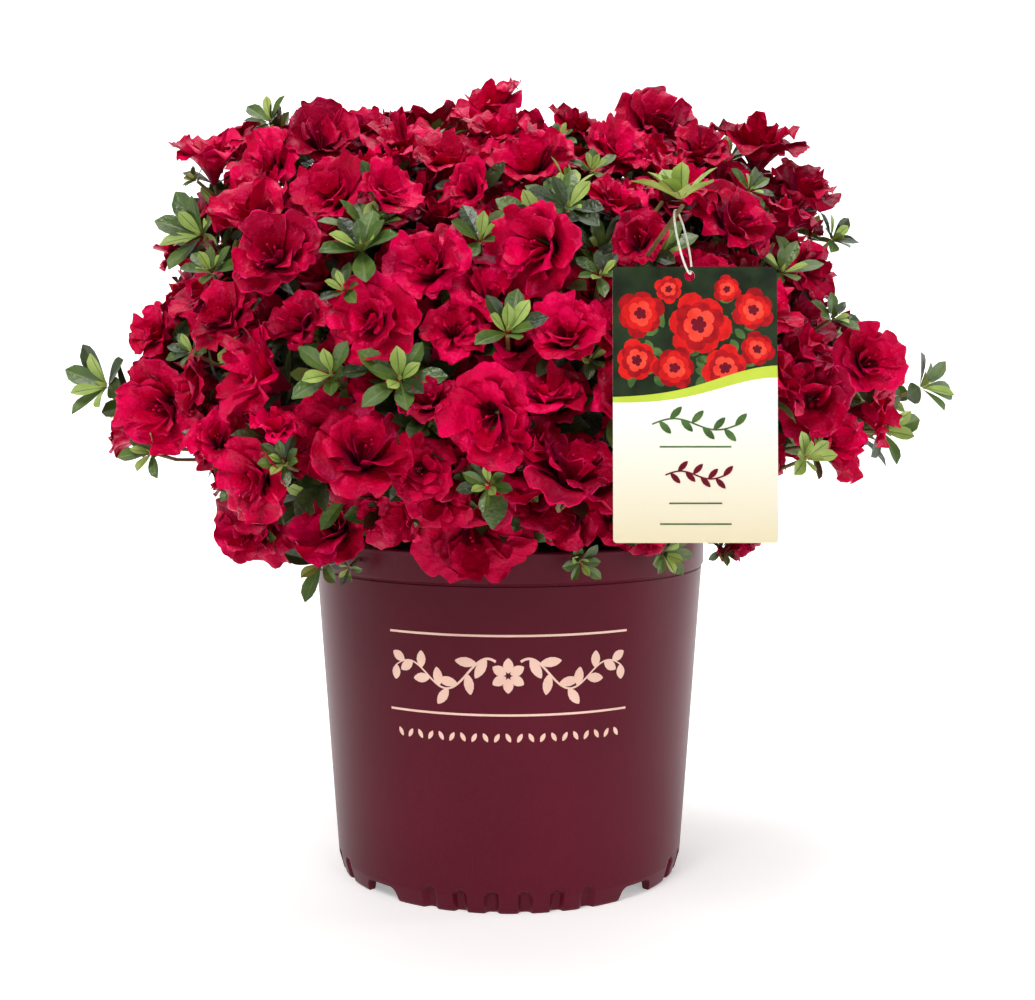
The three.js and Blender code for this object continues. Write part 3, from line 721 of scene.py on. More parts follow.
def shape_arrays(mesh):
    """A small mesh as plain arrays, ready to be copied many times."""
    places = np.empty(len(mesh.vertices) * 3, dtype=np.float32)
    mesh.vertices.foreach_get("co", places)
    corners = np.empty(len(mesh.loops), dtype=np.int32)
    mesh.loops.foreach_get("vertex_index", corners)
    counts = np.empty(len(mesh.polygons), dtype=np.int32)
    mesh.polygons.foreach_get("loop_total", counts)
    slots = np.empty(len(mesh.polygons), dtype=np.int32)
    mesh.polygons.foreach_get("material_index", slots)
    return places.reshape(-1, 3), corners, counts, slots


def copies_mesh(name, copies):
    """One mesh from (shape arrays, 4x4 matrix in mm, {slot in the shape: slot in the mesh})."""
    all_places, all_corners, all_counts, all_slots = [], [], [], []
    total = 0
    for (places, corners, counts, slots), matrix, slot_map in copies:
        all_places.append((places @ matrix[:3, :3].T + matrix[:3, 3]) * MM)
        all_corners.append(corners + total)
        all_counts.append(counts)
        mapped = np.array([slot_map[slot] for slot in range(slots.max() + 1)], dtype=np.int32)
        all_slots.append(mapped[slots])
        total += len(places)
    places, corners = np.concatenate(all_places), np.concatenate(all_corners)
    counts, slots = np.concatenate(all_counts), np.concatenate(all_slots)
    mesh = bpy.data.meshes.new(name)
    mesh.vertices.add(len(places))
    mesh.vertices.foreach_set("co", places.astype(np.float32).ravel())
    mesh.loops.add(len(corners))
    mesh.loops.foreach_set("vertex_index", corners)
    mesh.polygons.add(len(counts))
    mesh.polygons.foreach_set("loop_start", np.concatenate(([0], np.cumsum(counts)[:-1])).astype(np.int32))
    mesh.polygons.foreach_set("material_index", slots)
    mesh.update(calc_edges=True)
    mesh.shade_smooth()
    return mesh


def placing(right, top, facing, place, size):
    """The matrix that puts a shape's x, y and z along three directions, at a size and a place."""
    matrix = np.identity(4)
    matrix[:3, :3] = np.array((right, top, facing)).T * size
    matrix[:3, 3] = place
    return matrix


# %% Potting mix with chips of bark
soil_top = 215
soil_radius = 135
soil_edge = 14
soil_rings = 24
hill_height = 0.0025
hill_grain = 60
chip_count = 900
chip_taper = 0.3


def soil_mesh():
    line = [(soil_radius * ring / soil_rings, soil_top) for ring in range(soil_rings + 1)]
    line.append((soil_radius - 1, soil_top - soil_edge))
    bm = turned(line, 72)
    for vert in bm.verts:
        vert.co.z += hill_height * noise.noise(vert.co * hill_grain) - 0.0015
    return mesh_from(bm, "potting_mix_bed")


def chips_mesh():
    bm = bmesh.new()
    block = bmesh.ops.create_cube(bm, size=1)["verts"]
    for vert in block:
        vert.co.x *= 1 - chip_taper * (vert.co.y > 0)
    shape = shape_arrays(mesh_from(bm, "chip"))
    chooser = random.Random(11)
    copies = []
    for _ in range(chip_count):
        radius, angle = soil_radius * 0.96 * math.sqrt(chooser.random()), chooser.uniform(0, 2 * math.pi)
        lean = Matrix.Rotation(chooser.gauss(0, 0.35), 3, "X")
        turn = Matrix.Rotation(chooser.uniform(0, 6.3), 3, "Z") @ lean
        size = (chooser.uniform(4, 11), chooser.uniform(3, 6), chooser.uniform(1, 2.4))
        matrix = np.identity(4)
        matrix[:3, :3] = np.array(turn) * np.array(size)
        matrix[:3, 3] = (radius * math.cos(angle), radius * math.sin(angle), soil_top - 0.6)
        copies.append((shape, matrix, {0: 0}))
    mesh = copies_mesh("bark_chips", copies)
    mesh.set_sharp_from_angle(angle=math.radians(30))
    return mesh


finish_piece("potting_mix_bed", soil_mesh(), [potting_bark], ["potting_mix"])
finish_piece("bark_chips", chips_mesh(), [bark_chip])

# %% [markdown]
# ## The plant's rule of growth
# The solids were grown by a rule, and the same rule is written again here, in millimetres. Each bough
# carries one mass. Shoots are spread over the dome by the golden angle, which never repeats itself, and
# each shoot ends in a head: a blossom or a whorl of leaves. Chance is a hash of the shoot's number, so the
# same shoot gives the same head every time.

# %% Values of the rule
heart = np.array((0.0, 0.0, 300.0))
up = np.array((0.0, 0.0, 1.0))
clearance = 0.3
bough_share = 0.38
branch_share = 0.68
valley_depth = 0.06
valley_angle = math.radians(30)
blend_sharpness = 14
underside_taper = 2
dome_underside = 216
pot_room = 8

# name, tier, azimuth, elevation, reach, lead, tip
masses = [
    ("top_right", "top", 2, 54, 284, 4, "blossom"),
    ("top_back", "top", 92, 64, 262, 6, "leaves"),
    ("top_left", "top", 182, 48, 304, 6, "blossom"),
    ("top_front", "top", 266, 66, 238, 4, "blossom"),
    ("upper_left", "upper", 180, 27, 288, 6, "leaves"),
    ("upper_front_left", "upper", 232, 27, 282, 4, "blossom"),
    ("upper_front_right", "upper", 290, 27, 282, 4, "blossom"),
    ("upper_right", "upper", 354, 31, 290, 8, "leaves"),
    ("upper_back_right", "upper", 52, 29, 288, 4, "blossom"),
    ("upper_back_left", "upper", 115, 28, 288, 6, "leaves"),
    ("lower_left", "lower", 182, 7, 290, 28, "leaves"),
    ("lower_front_left", "lower", 234, -2, 280, 4, "blossom"),
    ("lower_front_right", "lower", 288, -2, 280, 4, "blossom"),
    ("lower_right", "lower", 358, 9, 288, 34, "leaves"),
    ("lower_back_right", "lower", 50, -1, 284, 6, "leaves"),
    ("lower_back_left", "lower", 105, -1, 288, 10, "blossom"),
]

seed = 4021
shoot_count = 300
lowest_shoot_sine = -0.34
golden_angle = math.pi * (3 - math.sqrt(5))
direction_jitter = 0.07
depth_jitter = 0.1
facing_jitter = 0.45
facing_lift = 0.22
blossom_chance = 0.68
lowest_blossom_sine = -0.3
crowding_share = 0.58
largest_shift = 46
settle_passes = 4
settle_margin = 0.1
size_jitter = 0.1
blossom_radius = 37
leaf_length = 45
BEND, TURN, KIND, DEPTH, TILT_X, TILT_Y, TILT_Z, ROLL, SIZE, EDGE, RISE = 1, 2, 3, 4, 5, 6, 7, 8, 9, 20, 30

# %% Chance, directions and the reach of the dome


def chance(shoot, purpose):
    bits = ((shoot + seed) * 374761393 + purpose * 668265263) & 0xFFFFFFFF
    bits = ((bits ^ (bits >> 13)) * 1274126177) & 0xFFFFFFFF
    return (bits ^ (bits >> 16)) / 4294967296


def spread(shoot, purpose):
    return 2 * chance(shoot, purpose) - 1


def unit(vector):
    return vector / np.linalg.norm(vector)


def direction_at(azimuth, elevation):
    flat = math.cos(elevation)
    return np.array((math.cos(azimuth) * flat, math.sin(azimuth) * flat, math.sin(elevation)))


axes = np.array([direction_at(math.radians(mass[2]), math.radians(mass[3])) for mass in masses])
reaches = np.array([mass[4] for mass in masses], dtype=float)


def nearest_mass(direction):
    return int(np.argmax(axes @ direction))


def dome_reach(direction):
    closeness = axes @ direction
    weights = np.exp(blend_sharpness * (closeness - 1))
    away = math.acos(min(1, closeness.max())) / valley_angle
    underside = 1 / (1 + underside_taper * max(0, -direction[2]))
    return (weights @ reaches) / weights.sum() * (1 - valley_depth * away * away) * underside


def shoot_direction(shoot, count):
    sine = 1 - ((shoot + 0.5) / count) * (1 - lowest_shoot_sine)
    elevation = math.asin(sine) + direction_jitter * spread(shoot, BEND)
    azimuth = shoot * golden_angle + direction_jitter * spread(shoot, TURN) / math.cos(elevation)
    return direction_at(azimuth, elevation)


def frame_of(facing, roll):
    reference = up if abs(facing[2]) < 0.9 else np.array((1.0, 0.0, 0.0))
    side = unit(np.cross(reference, facing))
    over = np.cross(facing, side)
    right = side * math.cos(roll) + over * math.sin(roll)
    return right, np.cross(facing, right), facing


print("reach straight up:", round(dome_reach(up)), "mm, to the left:", round(dome_reach(-axes[13])), "mm")

# %% [markdown]
# A head stays in its mass's own space: behind the planes half way to the other masses, above the underside
# of the dome, behind the tag and clear of the pot. A head that crosses a limit is pushed back.

# %% Limits of the masses
tag_top = np.array((100.3, -276.0, 409.0))
tag_lean = math.radians(6.2)
tag_thickness = 0.8
behind_tag = np.array((0, math.cos(tag_lean), -math.sin(tag_lean)))
open_limits = (up, behind_tag), (dome_underside, behind_tag @ tag_top + 2 * tag_thickness)


def limits_of(mass_index):
    normals, distances = list(open_limits[0]), list(open_limits[1])
    for index, axis in enumerate(axes):
        if index != mass_index:
            normal = unit(axes[mass_index] - axis)
            normals.append(normal)
            distances.append(normal @ heart + clearance)
    return normals, distances


head_parts = 5
neck_depth = {"blossom": 0.55, "leaves": 0.12}
petal_gap, petal_reach, petal_half_angle = 0.52, 0.96, 0.34
petal_rise, petal_wave = 0.12, 0.07
leaf_gap, leaf_waist, leaf_half_angle = 0.13, 0.56, 0.29
leaf_rise, leaf_rise_spread, leaf_length_spread = 0.42, 0.28, 0.12


class Head:
    """A blossom or a whorl at the end of a shoot. Its outline is that of the solid's petals or leaves."""

    def __init__(self, shoot, kind, size, centre, frame, mass_index):
        self.shoot, self.kind, self.size = shoot, kind, size
        self.centre, self.frame, self.mass_index = centre, frame, mass_index
        self.inner = False

    def place(self, radius, angle, height):
        right, top, facing = self.frame
        flat = right * math.cos(angle) + top * math.sin(angle)
        return self.centre + radius * flat + facing * height

    def neck(self):
        return self.place(0, 0, -neck_depth[self.kind] * self.size)

    def breadth(self):
        return self.size if self.kind == "blossom" else 0.6 * self.size

    def petal(self, part, gap, middle):
        size, wave = self.size, petal_wave * spread(self.shoot, EDGE + part)
        left, right = middle - petal_half_angle, middle + petal_half_angle
        return [self.place(petal_gap * size, gap, 0),
                self.place((petal_reach + wave) * size, left, (petal_rise - wave) * size),
                self.place((petal_reach - wave) * size, right, (petal_rise + wave) * size)]

    def leaf(self, part, gap, middle):
        length = self.size * (1 + leaf_length_spread * spread(self.shoot, EDGE + part))
        rise = (leaf_rise + leaf_rise_spread * spread(self.shoot, RISE + part)) * length
        return [self.place(leaf_gap * length, gap, 0),
                self.place(leaf_waist * length, middle - leaf_half_angle, 0.6 * rise),
                self.place(length, middle, rise),
                self.place(leaf_waist * length, middle + leaf_half_angle, 0.6 * rise)]

    def outline(self):
        points = [self.place(0, 0, 0.06 * self.size), self.neck()]
        draw = self.petal if self.kind == "blossom" else self.leaf
        for part in range(head_parts):
            gap = 2 * math.pi / head_parts * part
            points += draw(part, gap, gap + math.pi / head_parts)
        return np.array(points)


def depth_in_pot(points):
    low = points[:, 2] < pot_height + pot_room
    depths = np.where(low, rim_radius + pot_room - np.hypot(points[:, 0], points[:, 1]), 0)
    return max(0.0, depths.max())


def settle(head, limits):
    """Pushes a head back inside its limits. Tells whether it got there without going far."""
    normals, distances = limits
    start = head.centre.copy()
    for _ in range(settle_passes):
        depth = depth_in_pot(head.outline())
        if depth > 0:
            outward = unit(head.centre * (1, 1, 0))
            head.centre = head.centre + outward * (depth + settle_margin)
        for normal, distance in zip(normals, distances):
            over = (head.outline() @ normal).min() - distance
            if over < 0:
                head.centre = head.centre + normal * (settle_margin - over)
    points = head.outline()
    inside = ((points @ np.array(normals).T).min(axis=0) >= np.array(distances)).all()
    return inside and np.linalg.norm(start - head.centre) < largest_shift and depth_in_pot(points) == 0


# %% [markdown]
# ## Growing the shoots
# First the shoots of the solids are grown, one after the other, as the rule says.

# %% Shoots of the solids
short_twig_share = 0.68
earliest_twig = 0.08
latest_twig = 0.88
sharpest_bend = 0.3
branch_radius = 3.8
blossom_inset = 0.2
whorl_inset = 0.55
leading_whorl_inset = 0.72
tag_shoot_tip = np.array((94.0, -266.0, 446.0))
tag_shoot_leaf = 30
tag_shoot_room = 7
tag_hole_margin = 2
tag_hole_offset = -2.8
tag_down = np.array((0, -math.sin(tag_lean), -math.cos(tag_lean)))
tag_hole_top = tag_top + (tag_hole_offset, 0, 0) + tag_down * tag_hole_margin


def usual_size(kind):
    return blossom_radius if kind == "blossom" else leaf_length


def facing_near(direction, shoot, jitter=facing_jitter):
    tilt = np.array([spread(shoot, purpose) for purpose in (TILT_X, TILT_Y, TILT_Z)])
    return unit(direction + up * facing_lift + jitter * tilt)


def head_of(shoot, direction, kind):
    size = usual_size(kind) * (1 + size_jitter * spread(shoot, SIZE))
    inset = (blossom_inset if kind == "blossom" else whorl_inset) * size
    reach = dome_reach(direction) * (1 - depth_jitter * chance(shoot, DEPTH))
    frame = frame_of(facing_near(direction, shoot), 2 * math.pi * chance(shoot, ROLL))
    return Head(shoot, kind, size, heart + direction * (reach - inset), frame, nearest_mass(direction))


def leading_head(mass_index):
    _, _, _, _, reach, lead, tip = masses[mass_index]
    size = usual_size(tip)
    inset = (blossom_inset if tip == "blossom" else leading_whorl_inset) * size
    centre = heart + axes[mass_index] * (reach + lead - inset)
    return Head(shoot_count + mass_index, tip, size, centre, frame_of(axes[mass_index], 0), mass_index)


def twig_start(mass_index, target):
    """Where a twig leaves its bough: nearer to the stem, the more it heads sideways."""
    run = target - heart
    reach = reaches[mass_index]
    away = math.acos(min(1, unit(run) @ axes[mass_index])) / valley_angle
    early = min(earliest_twig + 0.7 * away, latest_twig)
    wanted = (branch_share + (bough_share - branch_share) * early) * reach
    along = min(wanted, short_twig_share * (run @ axes[mass_index]))
    return heart + axes[mass_index] * max(along, bough_share * reach + 2 * branch_radius)


def bends_gently(head):
    neck = head.neck()
    return unit(neck - twig_start(head.mass_index, neck)) @ head.frame[2] > sharpest_bend


def clear_of_loop(head):
    run = tag_shoot_tip - tag_hole_top
    share = np.clip((head.centre - tag_hole_top) @ run / (run @ run), 0, 1)
    return np.linalg.norm(tag_hole_top + run * share - head.centre) > head.size + tag_shoot_room


def grow_main_shoots():
    limits = [limits_of(index) for index in range(len(masses))]
    tag_mass = nearest_mass(unit(tag_shoot_tip - heart))
    tag_frame = frame_of(unit(np.array((-0.2, -0.15, 1))), 0)
    grown = [Head(shoot_count + len(masses), "leaves", tag_shoot_leaf, tag_shoot_tip, tag_frame, tag_mass)]
    grown += [head for head in map(leading_head, range(len(masses))) if settle(head, limits[head.mass_index])]
    for shoot in range(shoot_count):
        direction = shoot_direction(shoot, shoot_count)
        blossoms = chance(shoot, KIND) < blossom_chance and direction[2] > lowest_blossom_sine
        head = head_of(shoot, direction, "blossom" if blossoms else "leaves")
        fits = settle(head, limits[head.mass_index]) and clear_of_loop(head) and bends_gently(head)
        mates = [other for other in grown if other.mass_index == head.mass_index]
        crowded = any(np.linalg.norm(other.centre - head.centre)
                      < crowding_share * (head.breadth() + other.breadth()) for other in mates)
        if fits and not crowded:
            grown.append(head)
    return grown


main_heads = grow_main_shoots()
tag_head = main_heads[0]
print("main shoots:", len(main_heads), "blossoms:", sum(head.kind == "blossom" for head in main_heads))

# %% [markdown]
# Seen from the front, the plant should show its blossoms and its tufts of leaves where the photograph
# shows them. Their places were noted: the pixel at the middle, and the radius. The line of sight
# through that pixel meets the dome, and there the head is put. Its size follows from its distance.

# %% Heads noted on the photograph
noted_blossoms = [
    (212, 160, 42), (268, 166, 36), (322, 140, 38), (368, 132, 26), (408, 146, 42), (450, 166, 44),
    (490, 112, 42), (530, 166, 46), (576, 128, 28), (612, 154, 38), (655, 124, 42), (700, 152, 34),
    (760, 148, 46), (802, 192, 40), (735, 222, 46), (618, 202, 30), (640, 242, 32), (806, 270, 28),
    (250, 208, 38), (335, 196, 42), (386, 194, 34), (275, 256, 48), (430, 268, 46), (540, 248, 48),
    (228, 318, 42), (158, 332, 30), (300, 322, 34), (372, 320, 46), (455, 330, 30), (565, 336, 42),
    (262, 376, 54), (165, 408, 48), (218, 440, 32), (365, 452, 54), (296, 520, 46), (352, 526, 44),
    (246, 530, 32), (408, 512, 34), (490, 418, 54), (572, 472, 54), (480, 532, 50), (572, 516, 34),
    (802, 346, 40), (866, 362, 40), (812, 398, 40), (830, 440, 40), (276, 428, 28), (678, 540, 26),
    (420, 470, 34), (440, 500, 30), (530, 440, 34), (430, 400, 30), (470, 190, 30),
]
noted_tufts = [
    (270, 122, 26), (196, 180, 14), (202, 236, 42), (212, 272, 28), (107, 386, 44), (152, 452, 28),
    (238, 480, 26), (284, 462, 24), (322, 563, 34), (368, 566, 14), (362, 250, 40), (345, 290, 24),
    (332, 374, 36), (400, 380, 40), (192, 352, 22), (480, 240, 34), (568, 208, 34), (592, 170, 20),
    (475, 130, 18), (560, 138, 15), (508, 332, 40), (600, 275, 24), (590, 358, 22), (488, 485, 26),
    (548, 552, 20), (655, 552, 26), (712, 548, 16), (750, 190, 22), (782, 272, 34), (832, 240, 26),
    (832, 318, 24), (921, 387, 37), (882, 430, 38), (806, 458, 26),
]
noted_first = 6000
noted_scale = {"blossom": 1.14, "leaves": 1.25}
noted_jitter = {"blossom": 0.6, "leaves": 0.3}
noted_underside = 194
noted_depth_share = {"blossom": 0.93, "leaves": 0.94}
noted_depth_jitter = 0.04
outward_pull = 0.65
camera_pull = 0.45
sight_depths = np.arange(760, 1320, 4.0)


def place_on_sight(across, down, share):
    """Where a line of sight enters the dome, or comes nearest to it."""
    points = eye + sight_depths[:, None] * ray_through(across, down)
    runs = points - heart
    lengths = np.linalg.norm(runs, axis=1)
    shares = np.array([length / dome_reach(run / length) for run, length in zip(runs, lengths)])
    entered = np.nonzero(shares < share)[0]
    index = entered[0] if len(entered) else int(np.argmin(shares))
    return points[index], sight_depths[index]


def noted_head(number, kind, across, down, radius):
    """A head between facing outwards and facing the camera, at its noted place."""
    shoot = noted_first + number
    share = noted_depth_share[kind] - noted_depth_jitter * chance(shoot, DEPTH)
    centre, depth = place_on_sight(across, down, share)
    direction = unit(centre - heart)
    aim = unit(direction * outward_pull + unit(eye - centre) * camera_pull)
    frame = frame_of(facing_near(aim, shoot, noted_jitter[kind]), 2 * math.pi * chance(shoot, ROLL))
    size = noted_scale[kind] * radius * depth / focal_pixels
    head = Head(shoot, kind, size, centre, frame, nearest_mass(direction))
    settle(head, (open_limits[0], (noted_underside, open_limits[1][1])))
    return head


def grow_noted_shoots():
    listed = [("blossom", *noted) for noted in noted_blossoms] + [("leaves", *noted) for noted in noted_tufts]
    grown = [noted_head(number, *noted) for number, noted in enumerate(listed)]
    return [head for head in grown if depth_in_pot(head.outline()) == 0]


noted_heads = grow_noted_shoots()
print("noted heads:", len(noted_heads), "of", len(noted_blossoms) + len(noted_tufts))

# %% [markdown]
# Everywhere else the rule goes on. The main shoots stay where no noted head stands in their way, but in
# front only the blossoms do, since all tufts there are noted. A second, finer set fills the room between
# them, because a real azalea is much denser than its solids, and a third set of leaves sits deeper, where
# little light comes; these are mostly dark green, as painted shade. The outline of the dome was noted on
# the photograph too, and a head that would stick out of it is drawn in towards the heart.

# %% Outline of the dome
dome_outline = np.array([
    (67, 383), (90, 356), (124, 366), (134, 340), (134, 305), (160, 290), (156, 262), (154, 215),
    (185, 198), (165, 152), (190, 134), (240, 112), (300, 106), (365, 104), (430, 106), (490, 88),
    (532, 114), (575, 114), (606, 112), (655, 82), (704, 130), (760, 122), (792, 132), (830, 200),
    (850, 224), (828, 272), (838, 314), (884, 322), (908, 365), (958, 378), (912, 404), (900, 450),
    (876, 466), (830, 478), (770, 480), (708, 528), (640, 556), (570, 574), (500, 580), (440, 572),
    (360, 574), (340, 596), (290, 590), (280, 566), (212, 552), (222, 500), (190, 462), (125, 468),
    (92, 425),
], dtype=float)
draw_in_steps = 12
draw_in_share = 0.97


def depth_in_outline(across, down):
    """How many pixels a place lies inside the noted outline; less than nothing outside it."""
    place = np.array((across, down))
    starts, ends = dome_outline, np.roll(dome_outline, -1, axis=0)
    runs = ends - starts
    shares = np.clip(((place - starts) * runs).sum(axis=1) / (runs * runs).sum(axis=1), 0, 1)
    distance = np.linalg.norm(starts + runs * shares[:, None] - place, axis=1).min()
    crossing = (starts[:, 1] > down) != (ends[:, 1] > down)
    meeting = starts[:, 0] + runs[:, 0] * (down - starts[:, 1]) / np.where(crossing, runs[:, 1], 1)
    inside = (crossing & (across < meeting)).sum() % 2 == 1
    return distance if inside else -distance


def draw_in(head):
    """Moves a head towards the heart until the outline holds it; tells whether it does."""
    for _ in range(draw_in_steps):
        across, down, depth = pixel_of(head.centre)
        if depth_in_outline(across, down) > 0.8 * head.size * focal_pixels / depth:
            return True
        head.centre = heart + (head.centre - heart) * draw_in_share
    return False


# %% Finer and deeper shoots
finer_count = 1900
finer_first = 1000
finer_blossom_size = 27
finer_leaf_size = 29
finer_crowding = 0.53
finer_depth = 0.13
front_depth = 0.07
blossom_share_in_front = 0.92
blossom_share_behind = 0.8
main_head_share = 0.76
main_crowding = 0.62
front_of_dome = -60
tag_room = 3
inner_count = 760
inner_leaf_size = 33
inner_first = 8000
inner_lift = 24


def crowds(head, others, share):
    centres = np.array([other.centre for other in others])
    breadths = np.array([other.breadth() for other in others])
    return (np.linalg.norm(centres - head.centre, axis=1) < share * (head.breadth() + breadths)).any()


def fits_open_room(head):
    points = head.outline()
    above = points[:, 2].min() > dome_underside
    behind = (points @ behind_tag).min() > behind_tag @ tag_top + tag_room
    return above and behind and depth_in_pot(points) == 0 and clear_of_loop(head)


def keep_main_shoots(main, noted):
    kept = [main[0]]
    for head in main[1:]:
        head.size *= main_head_share
        tuft_in_front = head.kind == "leaves" and head.centre[1] < front_of_dome
        if draw_in(head) and not tuft_in_front and not crowds(head, noted, main_crowding):
            kept.append(head)
    return kept


def grow_finer_shoots(others):
    grown = []
    for index in range(finer_count):
        shoot = finer_first + index
        direction = shoot_direction(index, finer_count)
        blossom_share = blossom_share_in_front if direction[1] < -0.2 else blossom_share_behind
        blossoms = chance(shoot, KIND) < blossom_share and direction[2] > lowest_blossom_sine
        head = head_of(shoot, direction, "blossom" if blossoms else "leaves")
        head.size *= finer_blossom_size / blossom_radius if blossoms else finer_leaf_size / leaf_length
        depth = finer_depth * chance(shoot, DEPTH) + (front_depth if direction[1] < -0.1 else 0)
        head.centre = heart + direction * (dome_reach(direction) * (1 - depth) - 0.3 * head.size)
        if draw_in(head) and fits_open_room(head) and not crowds(head, others + grown, finer_crowding):
            grown.append(head)
    return grown


def grow_inner_shoots():
    grown = []
    for index in range(inner_count):
        shoot = inner_first + index
        direction = shoot_direction(index, inner_count)
        head = head_of(shoot, direction, "leaves")
        head.centre = heart + direction * dome_reach(direction) * (0.6 + 0.2 * chance(shoot, DEPTH))
        head.size *= inner_leaf_size / leaf_length
        head.inner = True
        high_enough = draw_in(head) and head.centre[2] > dome_underside + inner_lift
        if high_enough and depth_in_pot(head.outline()) == 0:
            grown.append(head)
    return grown


kept_heads = keep_main_shoots(main_heads, noted_heads)
finer_heads = grow_finer_shoots(noted_heads + kept_heads)
inner_heads = grow_inner_shoots()
branch_heads = kept_heads + noted_heads
outer_heads = branch_heads + finer_heads
print("kept:", len(kept_heads), "finer:", len(finer_heads), "inner:", len(inner_heads),
      "outer blossoms:", sum(head.kind == "blossom" for head in outer_heads))

# %% [markdown]
# ## Stem, boughs and twigs
# A round limb that tapers is quickest as a curve with a bevel: each point carries its own radius, and
# hundreds of twigs fit in one curve object. The curve becomes a mesh, and the bark's ridges are then
# pushed out of the stem and boughs by noise that is stretched along them.

# %% Stem and boughs
stem_height = 88
stem_profile = [(0, 17), (7, 13.9), (17, 12.5), (50, 10.4), (84, 8.5), (88.3, 4.5)]
stem_lean = np.array((4.0, 2.0, 0.0))
tier_height = {"top": 75, "upper": 38, "lower": 17}
bough_set_out = {"lower": 0, "upper": 0, "top": 6.5}
bough_stagger = 6
bough_sweep = 46
bough_radii = {"start": 4.3, "neck": 3.8, "end": 2.4}
bough_wander = 2.2
bark_grain = 420
bark_grain_upright = 110
bark_ridge = 0.0006


def bend_between(start, control, end, count):
    """Points on a smooth bend from a start to an end, drawn towards a control point."""
    shares = np.linspace(0, 1, count)
    return [(1 - s) ** 2 * start + 2 * s * (1 - s) * control + s ** 2 * end for s in shares]


def tapered(points, first_radius, last_radius):
    radii = np.linspace(first_radius, last_radius, len(points))
    return list(zip(points, radii))


def stem_path():
    foot = np.array((0, 0, soil_top + clearance))
    rings = np.linspace(0, stem_profile[-1][0], 24)
    radii = np.interp(rings, [height for height, _ in stem_profile], [radius for _, radius in stem_profile])
    middles = [foot + (up + stem_lean / stem_height) * height for height in rings]
    return list(zip(middles, radii))


def wander_at(place):
    """A shift between -1 and 1 each way, which changes smoothly from place to place."""
    return np.array([noise.noise(place + Vector((0, 0, apart))) for apart in (0, 40.3, 80.7)])


def bough_path(mass_index):
    """A bend up to the bough's share of the reach, and then a slightly wandering run to its twigs."""
    _, tier, azimuth, _, reach, _, _ = masses[mass_index]
    height = tier_height[tier] + bough_stagger * (mass_index % 2)
    start = stem_lean * height / stem_height + (0, 0, soil_top + height)
    start = start + direction_at(math.radians(azimuth), 0) * bough_set_out[tier]
    end = heart + axes[mass_index] * bough_share * reach
    bend = bend_between(start, end - axes[mass_index] * bough_sweep, end, 14)
    run = []
    for share in np.linspace(0, 1, 8):
        wander = bough_wander * wander_at(Vector(end) * 0.05 + Vector((share * 3, 0, 0)))
        point = end + axes[mass_index] * (branch_share - bough_share) * reach * share
        run.append(point + wander * math.sin(math.pi * share))
    path = tapered(bend, bough_radii["start"], bough_radii["neck"])
    return path + tapered(run, bough_radii["neck"], bough_radii["end"])[1:]


def with_bark_relief(mesh):
    bm = bmesh.new()
    bm.from_mesh(mesh)
    bm.normal_update()
    for vert in bm.verts:
        place = Vector((vert.co.x * bark_grain, vert.co.y * bark_grain, vert.co.z * bark_grain_upright))
        vert.co += vert.normal * bark_ridge * noise.fractal(place, 0.8, 2.1, 3)
    return mesh_from(bm, "stem_and_boughs")


limb_paths = [stem_path()] + [bough_path(index) for index in range(len(masses))]
bark_mesh = with_bark_relief(tubes_mesh(limb_paths, 5))
bough_nodes = ["bough_" + mass[0] for mass in masses]
finish_piece("stem_and_boughs", bark_mesh, [rough_bark], ["stem"] + bough_nodes)

# %% [markdown]
# A twig leaves its branch in the direction that the branch grows in and arrives at the head from behind.
# Three control points are enough for that: the start, a point behind the head, and the neck of the head.
# The finer shoots fork off the twig of their nearest neighbour, half way along, and the inner ones nearer
# to the branch.

# %% Twigs
twig_radii = (1.7, 1.25)
finer_twig_radii = (1.1, 0.9)


def twig_to(head, start, bend_share, count):
    """A twig that arrives at the head's neck from behind."""
    neck = head.neck()
    length = np.linalg.norm(neck - start)
    return bend_between(start, neck - head.frame[2] * bend_share * length, neck, count)


def main_twig(head):
    start = twig_start(head.mass_index, head.neck())
    if head is tag_head:
        return bend_between(start, (start + head.neck()) / 2, head.neck(), 6)
    return twig_to(head, start, 0.35, 6)


def forked_twig(head, parents, parent_necks):
    nearest = int(np.argmin(np.linalg.norm(parent_necks - head.neck(), axis=1)))
    points = parents[nearest]
    start = points[1] if head.inner else points[len(points) // 2]
    return twig_to(head, start, 0.3, 5)


main_twigs = [main_twig(head) for head in branch_heads]
main_necks = np.array([points[-1] for points in main_twigs])
finer_twigs = [forked_twig(head, main_twigs, main_necks) for head in finer_heads + inner_heads]
twig_paths = [tapered(points, *twig_radii) for points in main_twigs]
twig_paths += [tapered(points, *finer_twig_radii) for points in finer_twigs]
finish_piece("twigs", tubes_mesh(twig_paths, 1), [young_twig])

# %% [markdown]
# ## Petals and blossoms
# A double azalea has five broad petals that open from a funnel, and inside them narrower, ruffled ones
# that stand up. One petal is a small grid whose points are moved: across its width, along its length and
# up, with soft waves that grow towards the rim. The outermost line of faces is kept very narrow, so that
# it can carry a painted highlight along the rim. Ten blossoms are put together from such petals, each in
# two versions: a finely modelled one for the main shoots, and a plain one for the many small shoots.

# %% Model a petal
# The rim slot carries a painted highlight, and the stamens share it.
THROAT, BODY, SHADE, RIM_HIGHLIGHT_AND_STAMEN = range(4)
rim_start = 0.95
throat_end = 0.24
petal_stations = (0, 0.2, 0.45, 0.7, 0.88, 1)
petal_widths = (0.2, 0.44, 0.8, 1, 0.93, 0.66)
shaded_petals = 0.35
funnel_depth = 0.5
funnel_rise = 0.58
petal_start = 0.05
corner_drop = 0.17
tip_notch = 0.06
stamen_length = 0.66
stamen_foot = 0.42


def toward_rim(value, lines):
    """Moves the last line but one of a grid out, so that the rim is narrow."""
    return math.copysign(np.interp(abs(value), (0, 1 - 1 / lines, 1), (0, rim_start, 1)), value)


